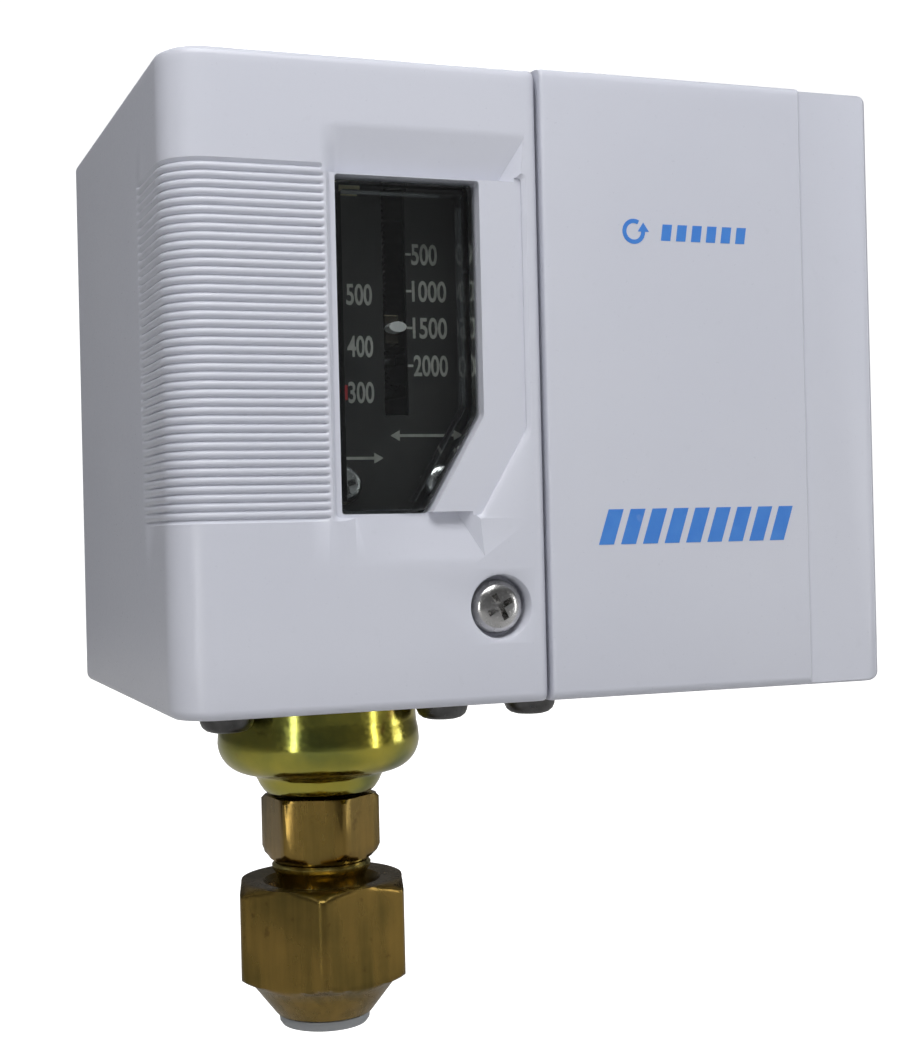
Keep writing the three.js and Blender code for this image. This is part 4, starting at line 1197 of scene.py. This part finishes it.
@dataclass
class Fasteners:
    """The screws that can be seen."""

    finishes: Finishes

    def build(self) -> None:
        """Make the cover screw, the dial's two screws, the terminal screws and the floor screws."""
        f = self.finishes
        cover = CrossScrew("cover_fixing_screw", 2.75, 1.9, 1.5, 2.3, 15.8).facing_front(32.8, 9.7, 28)
        dress(cover, f.screw, "cover_screw", "cover_screw")
        for k, x in enumerate((18.9, 29.3)):
            made = CrossScrew(f"dial_fixing_screw_{k + 1}", 2.1, 1.5, 1.25, 8.7, 12.7)
            dress(made.facing_front(x, 22.3, 15 + 50 * k), f.screw, ROOT, f"scale_screw_{k + 1}")
        for k, x in enumerate((50.2, 59.5, 68.8)):
            made = CrossScrew(f"clamp_screw_{k + 1}", 2.7, 1.9, 1.6, 7.8, 14.9).facing_front(x, 51.6, 35 * k)
            body = node = f"terminal_screw_{k + 1}"
            dress(made, f.brass, body, node)
        spots = {
            "element_screw_1": (7.2, 11.0), "element_screw_2": (30.2, 11.0), "element_screw_3": (7.2, 25.0),
            "element_screw_4": (30.2, 25.0), "bracket_screw": (40.2, 11.0), "plate_screw_1": (49.5, 30.0),
            "plate_screw_2": (57.5, 30.0),
        }
        for k, (node, (x, y)) in enumerate(spots.items()):
            made = CrossScrew(f"{node}_pan_head", 2.75, 2.1, 1.45, -0.2, 3.7).hanging(x, y, 20 + 40 * k)
            dress(made, f.floor_screw, ROOT, node)


# ---------------------------------------------------------------- plain nodes with eased edges
class Easing:
    """Plain nodes that keep their shape and only lose their sharp edges."""

    def __init__(self, finishes: Finishes) -> None:
        """Name each node's finish and the width that its edges are eased by."""
        f = finishes
        self.eased: dict[str, tuple[Material, float]] = {
            "scale_plate": (f.dial, 0.06), "chassis": (f.zinc, 0.2), "cover_bracket": (f.zinc, 0.15),
            "element_flange": (f.chromate, 0.15), "main_lever": (f.zinc, 0.15), "diff_lever": (f.zinc, 0.15),
            "range_seat": (f.dark_brass, 0.2), "diff_seat": (f.dark_brass, 0.2),
            "switch_body": (f.phenolic, 0.3), "terminal_block": (f.phenolic, 0.3),
            "switch_plate": (f.zinc, 0.15),
        }
        for part in ("terminal_plate", "contact_link"):
            self.eased.update({f"{part}_{k}": (f.brass, 0.1) for k in (1, 2, 3)})
        self.kept: dict[str, Material] = {
            "captive_ring": f.spring, "lever_pin": f.spring, "diff_lever_pin": f.spring,
            "range_pointer": f.white, "diff_pointer": f.red,
            "switch_screw_1": f.screw, "switch_screw_2": f.screw, "switch_button": f.red,
            "insulating_sheet": f.fibre, "cable_grommet": f.rubber, "earth_screw": f.earth,
            "earth_washer": f.turned_brass,
        }

    def build(self) -> None:
        """Ease and dress each node."""
        for name, (material, width) in self.eased.items():
            node = frame["nodes"][name]
            mesh = node.data.copy()
            mesh.name = f"{name}_eased"
            tidy(mesh, 5e-6)
            with opened(mesh) as bm:
                bmesh.ops.dissolve_limit(bm, angle_limit=math.radians(1), verts=bm.verts, edges=bm.edges)
            made = linked(f"{name}_eased", mesh)
            bevel = made.modifiers.new("ease", "BEVEL")
            bevel.width = width * MM
            bevel.segments = 2
            bevel.limit_method = "ANGLE"
            bevel.angle_limit = SHARP
            dress(applied(made, CRISP), material, node["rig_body"], name)
        for name, material in self.kept.items():
            node = frame["nodes"][name]
            node.material_slots[0].link = "OBJECT"
            node.material_slots[0].material = material


# ---------------------------------------------------------------- dial
@dataclass
class Dial:
    """The scales behind the window: numbers, ticks and plain signs, printed on the dark plate."""

    finishes: Finishes
    face: float = 9.0
    lift: float = 0.03

    def number(self, text: str, left: float, middle: float, height: float, width: float) -> None:
        """Print a number whose left edge and mid height are given, squeezed to its width."""
        curve = bpy.data.curves.new(f"number {text}", "FONT")
        curve.body = text
        curve.size = 1.0
        curve.extrude = 0.01
        curve.offset = 0.018
        helper = linked("number helper", curve)
        graph = bpy.context.evaluated_depsgraph_get()
        mesh = bpy.data.meshes.new_from_object(helper.evaluated_get(graph))
        bpy.data.objects.remove(helper)
        bpy.data.curves.remove(curve)

        def fitted(points: Points) -> Points:
            low, high = points.min(axis=0), points.max(axis=0)
            unit = (points - low) / (high - low)
            return CASE.place(np.stack([
                left + unit[:, 0] * width, self.face - unit[:, 2] * self.lift,
                middle + (unit[:, 1] - 0.5) * height,
            ], axis=1))

        moved(mesh, fitted)
        mesh.name = f"number_{text}_{round(middle * 10)}"
        dress(linked(mesh.name, mesh), self.finishes.print_white, ROOT)

    def build(self) -> None:
        """Print both scales."""
        height = 2.2
        ticks = []
        for text, z in (("500", 46.0), ("1000", 42.2), ("1500", 38.4), ("2000", 34.5)):
            self.number(text, 27.1, z, height, 0.94 * len(text))
            ticks.append(self.bar(26.46, 27.05, z, 0.24))
        for text, z in (("500", 41.7), ("400", 36.4), ("300", 31.7)):
            self.number(text, 20.0, z, height, 2.75)
            ticks.append(self.bar(16.5, 17.6, z, 0.24))
        ticks += [self.bar(25.2, 31.2, 27.3, 0.3), self.head(24.4, -1, 27.3), self.head(32.0, 1, 27.3)]
        ticks += [self.bar(19.4, 22.8, 25.0, 0.3), self.head(23.6, 1, 25.0)]
        for name, shapes, ink in (
            ("scale_marks", ticks, self.finishes.print_white),
            ("scale_red_mark", [self.bar(18.6, 19.9, 31.7, 1.5)], self.finishes.red),
            ("scale_tab", [self.bar(19.2, 21.4, 52.2, 0.9)], self.finishes.tab),
        ):
            stamp(name, shapes, self.face, self.lift, ink, ROOT)

    @staticmethod
    def bar(left: float, right: float, middle: float, thick: float) -> Points:
        """Return a flat bar's corners."""
        low, high = middle - thick / 2, middle + thick / 2
        return np.array([(left, low), (right, low), (right, high), (left, high)])

    @staticmethod
    def head(tip: float, way: int, middle: float) -> Points:
        """Return an arrow's head; way is 1 when it points right and -1 when it points left."""
        back, half = tip - way, way * 0.55
        return np.array([(tip, middle), (back, middle + half), (back, middle - half)])


# ---------------------------------------------------------------- studio
@dataclass
class Studio:
    """The camera, the lights and the plain pale floor."""

    eye: Place = (-31.287, -156.655, 17.42)
    yaw: float = 20.56
    pitch: float = 0.22
    roll: float = -1.34
    lens: float = 58.36
    floor_glow: float = 1.0
    floor_drop: float = 25.0
    room_light: float = 0.27

    def camera(self) -> None:
        """Set the camera: forward = (sin yaw cos pitch, cos yaw cos pitch, sin pitch), then rolled."""
        yaw, pitch, roll = (math.radians(v) for v in (self.yaw, self.pitch, self.roll))
        ahead = Vector((math.sin(yaw) * math.cos(pitch), math.cos(yaw) * math.cos(pitch), math.sin(pitch)))
        level = Vector((math.cos(yaw), -math.sin(yaw), 0))
        over = level.cross(ahead)
        right = math.cos(roll) * level + math.sin(roll) * over
        up = -math.sin(roll) * level + math.cos(roll) * over
        data = bpy.data.cameras.new("camera")
        data.sensor_fit = "VERTICAL"
        data.sensor_height = 36.0
        data.lens = self.lens
        data.clip_start = 0.01
        obj = linked("camera", data)
        turn = Matrix((right, up, -ahead)).transposed().to_4x4()
        obj.matrix_world = Matrix.Translation(Vector(CASE.point(*self.eye))) @ turn
        bpy.context.scene.camera = obj

    def lamp(
        self, name: str, place: Place, aim: Place, size: Pair, power: float, tint: Colour
    ) -> Object:
        """Hang one soft rectangular light that looks at a case point; places are in metres."""
        data = bpy.data.lights.new(name, "AREA")
        data.shape = "RECTANGLE"
        data.size, data.size_y = size
        data.energy = power
        data.color = tint
        obj = linked(name, data)
        at = Vector(place)
        turn = (Vector(aim) - at).to_track_quat("-Z", "Y").to_matrix().to_4x4()
        obj.matrix_world = Matrix.Translation(at) @ turn
        return obj

    def floor(self) -> None:
        """Lay a wide pale floor that curves up at its far edge, all the way round.

        It glows a little for the camera alone, so that it reads as paper in full light.
        """
        low = (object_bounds()[0][2] - CASE.corner[2]) / MM - self.floor_drop
        bend = arc((1500, low + 600), 600, -90, 0, 16)
        profile = [(0, low), *bend, (2100, low + 1500), (2110, low + 1500), (2110, low - 10), (0, low - 10)]
        ground = turned("floor", profile, (38.9, 27.0), sides=96)
        paper = Finish("pale_floor", grey(0.5), grey(0.48), grey(0.46), rough=(0.7, 0.8), blotch_scale=4,
                       grain_scale=60, speck_amount=0.05, relief=0.02).material()
        tree = paper.node_tree
        seen = add(tree, "LightPath")
        glow = add(tree, "Math", {1: self.floor_glow})
        glow.operation = "MULTIPLY"
        shader = put(tree.nodes["Principled BSDF"], {"Emission Color": (1.0, 1.0, 1.0, 1.0)})
        wire(tree, (seen.outputs["Is Camera Ray"], glow.inputs[0]),
             (glow.outputs["Value"], shader.inputs["Emission Strength"]))
        ground.data.materials.append(paper)
        ground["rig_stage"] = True

    def sky(self) -> None:
        """Fill the room with dim, even light: white behind the object, darker all round it."""
        world = bpy.data.worlds.new("room")
        bpy.context.scene.world = world
        world.use_nodes = True
        tree = world.node_tree
        back = put(tree.nodes["Background"], {"Color": (0.93, 0.96, 1.0, 1.0)})
        seen = add(tree, "LightPath")
        level = add(tree, "MapRange", {"To Min": self.room_light, "To Max": 1.0})
        wire(tree, (seen.outputs["Is Camera Ray"], level.inputs["Value"]),
             (level.outputs["Result"], back.inputs["Strength"]))

    def build(self) -> None:
        """Make the whole studio."""
        view = bpy.context.scene.view_settings
        view.view_transform = "Standard"
        view.look = "None"
        self.camera()
        self.floor()
        self.sky()
        white, cool, warm = (1.0, 1.0, 1.0), (0.93, 0.96, 1.0), (1.0, 0.97, 0.92)
        self.lamp("key", (-0.07, -0.21, 0.25), (0.0, -0.03, 0.02), (0.24, 0.18), 0.83, white)
        fill = self.lamp("front fill", (0.1, -0.9, 0.05), (0.0, -0.03, 0.0), (0.5, 0.3), 0.6, cool)
        fill.visible_glossy = fill.visible_transmission = False
        self.lamp("edge", (0.75, -0.1, 0.15), (0.04, -0.03, 0.0), (0.2, 0.5), 1.2, cool)
        for name, across, tall, power in (("left strip", -0.3, 0.16, 0.2), ("right strip", 0.33, 0.2, 0.16)):
            place, aim = (across, -0.33, -0.03), (-0.02, -0.037, -0.05)
            strip = self.lamp(name, place, aim, (0.045, tall), power, white)
            strip.visible_transmission = False
        self.lamp("side", (-0.8, -0.05, 0.35), (-0.04, -0.03, 0.0), (0.2, 0.5), 0.12, white)
        self.lamp("back", (0.1, 0.7, 0.6), (0.0, 0.0, 0.0), (0.6, 0.3), 4.5, warm)


def main() -> None:
    """Build the switch, piece by piece, and its studio."""
    logging.basicConfig(level=logging.INFO, format="%(name)s: %(message)s")
    finishes = Finishes()
    studio = Studio()
    studio.build()
    covers = Covers(finishes)
    covers.window_cover()
    covers.pane()
    covers.terminal_cover()
    covers.marks()
    Element(finishes).build()
    Adjuster(finishes, "range", x=25.2, y=18.0, radius=2.0, low=30.6, head=3.1, spring_radius=3.8, wire=1.1,
             turns=4.5, spring_low=23.65, seat_low=36.6).build()
    Adjuster(finishes, "diff", x=14.9, y=18.0, radius=1.6, low=34.0, head=2.9, spring_radius=3.1, wire=0.8,
             turns=5.5, spring_low=29.6, seat_low=39.2).build()
    Fasteners(finishes).build()
    Easing(finishes).build()
    Dial(finishes).build()


if __name__ == "__main__":
    main()
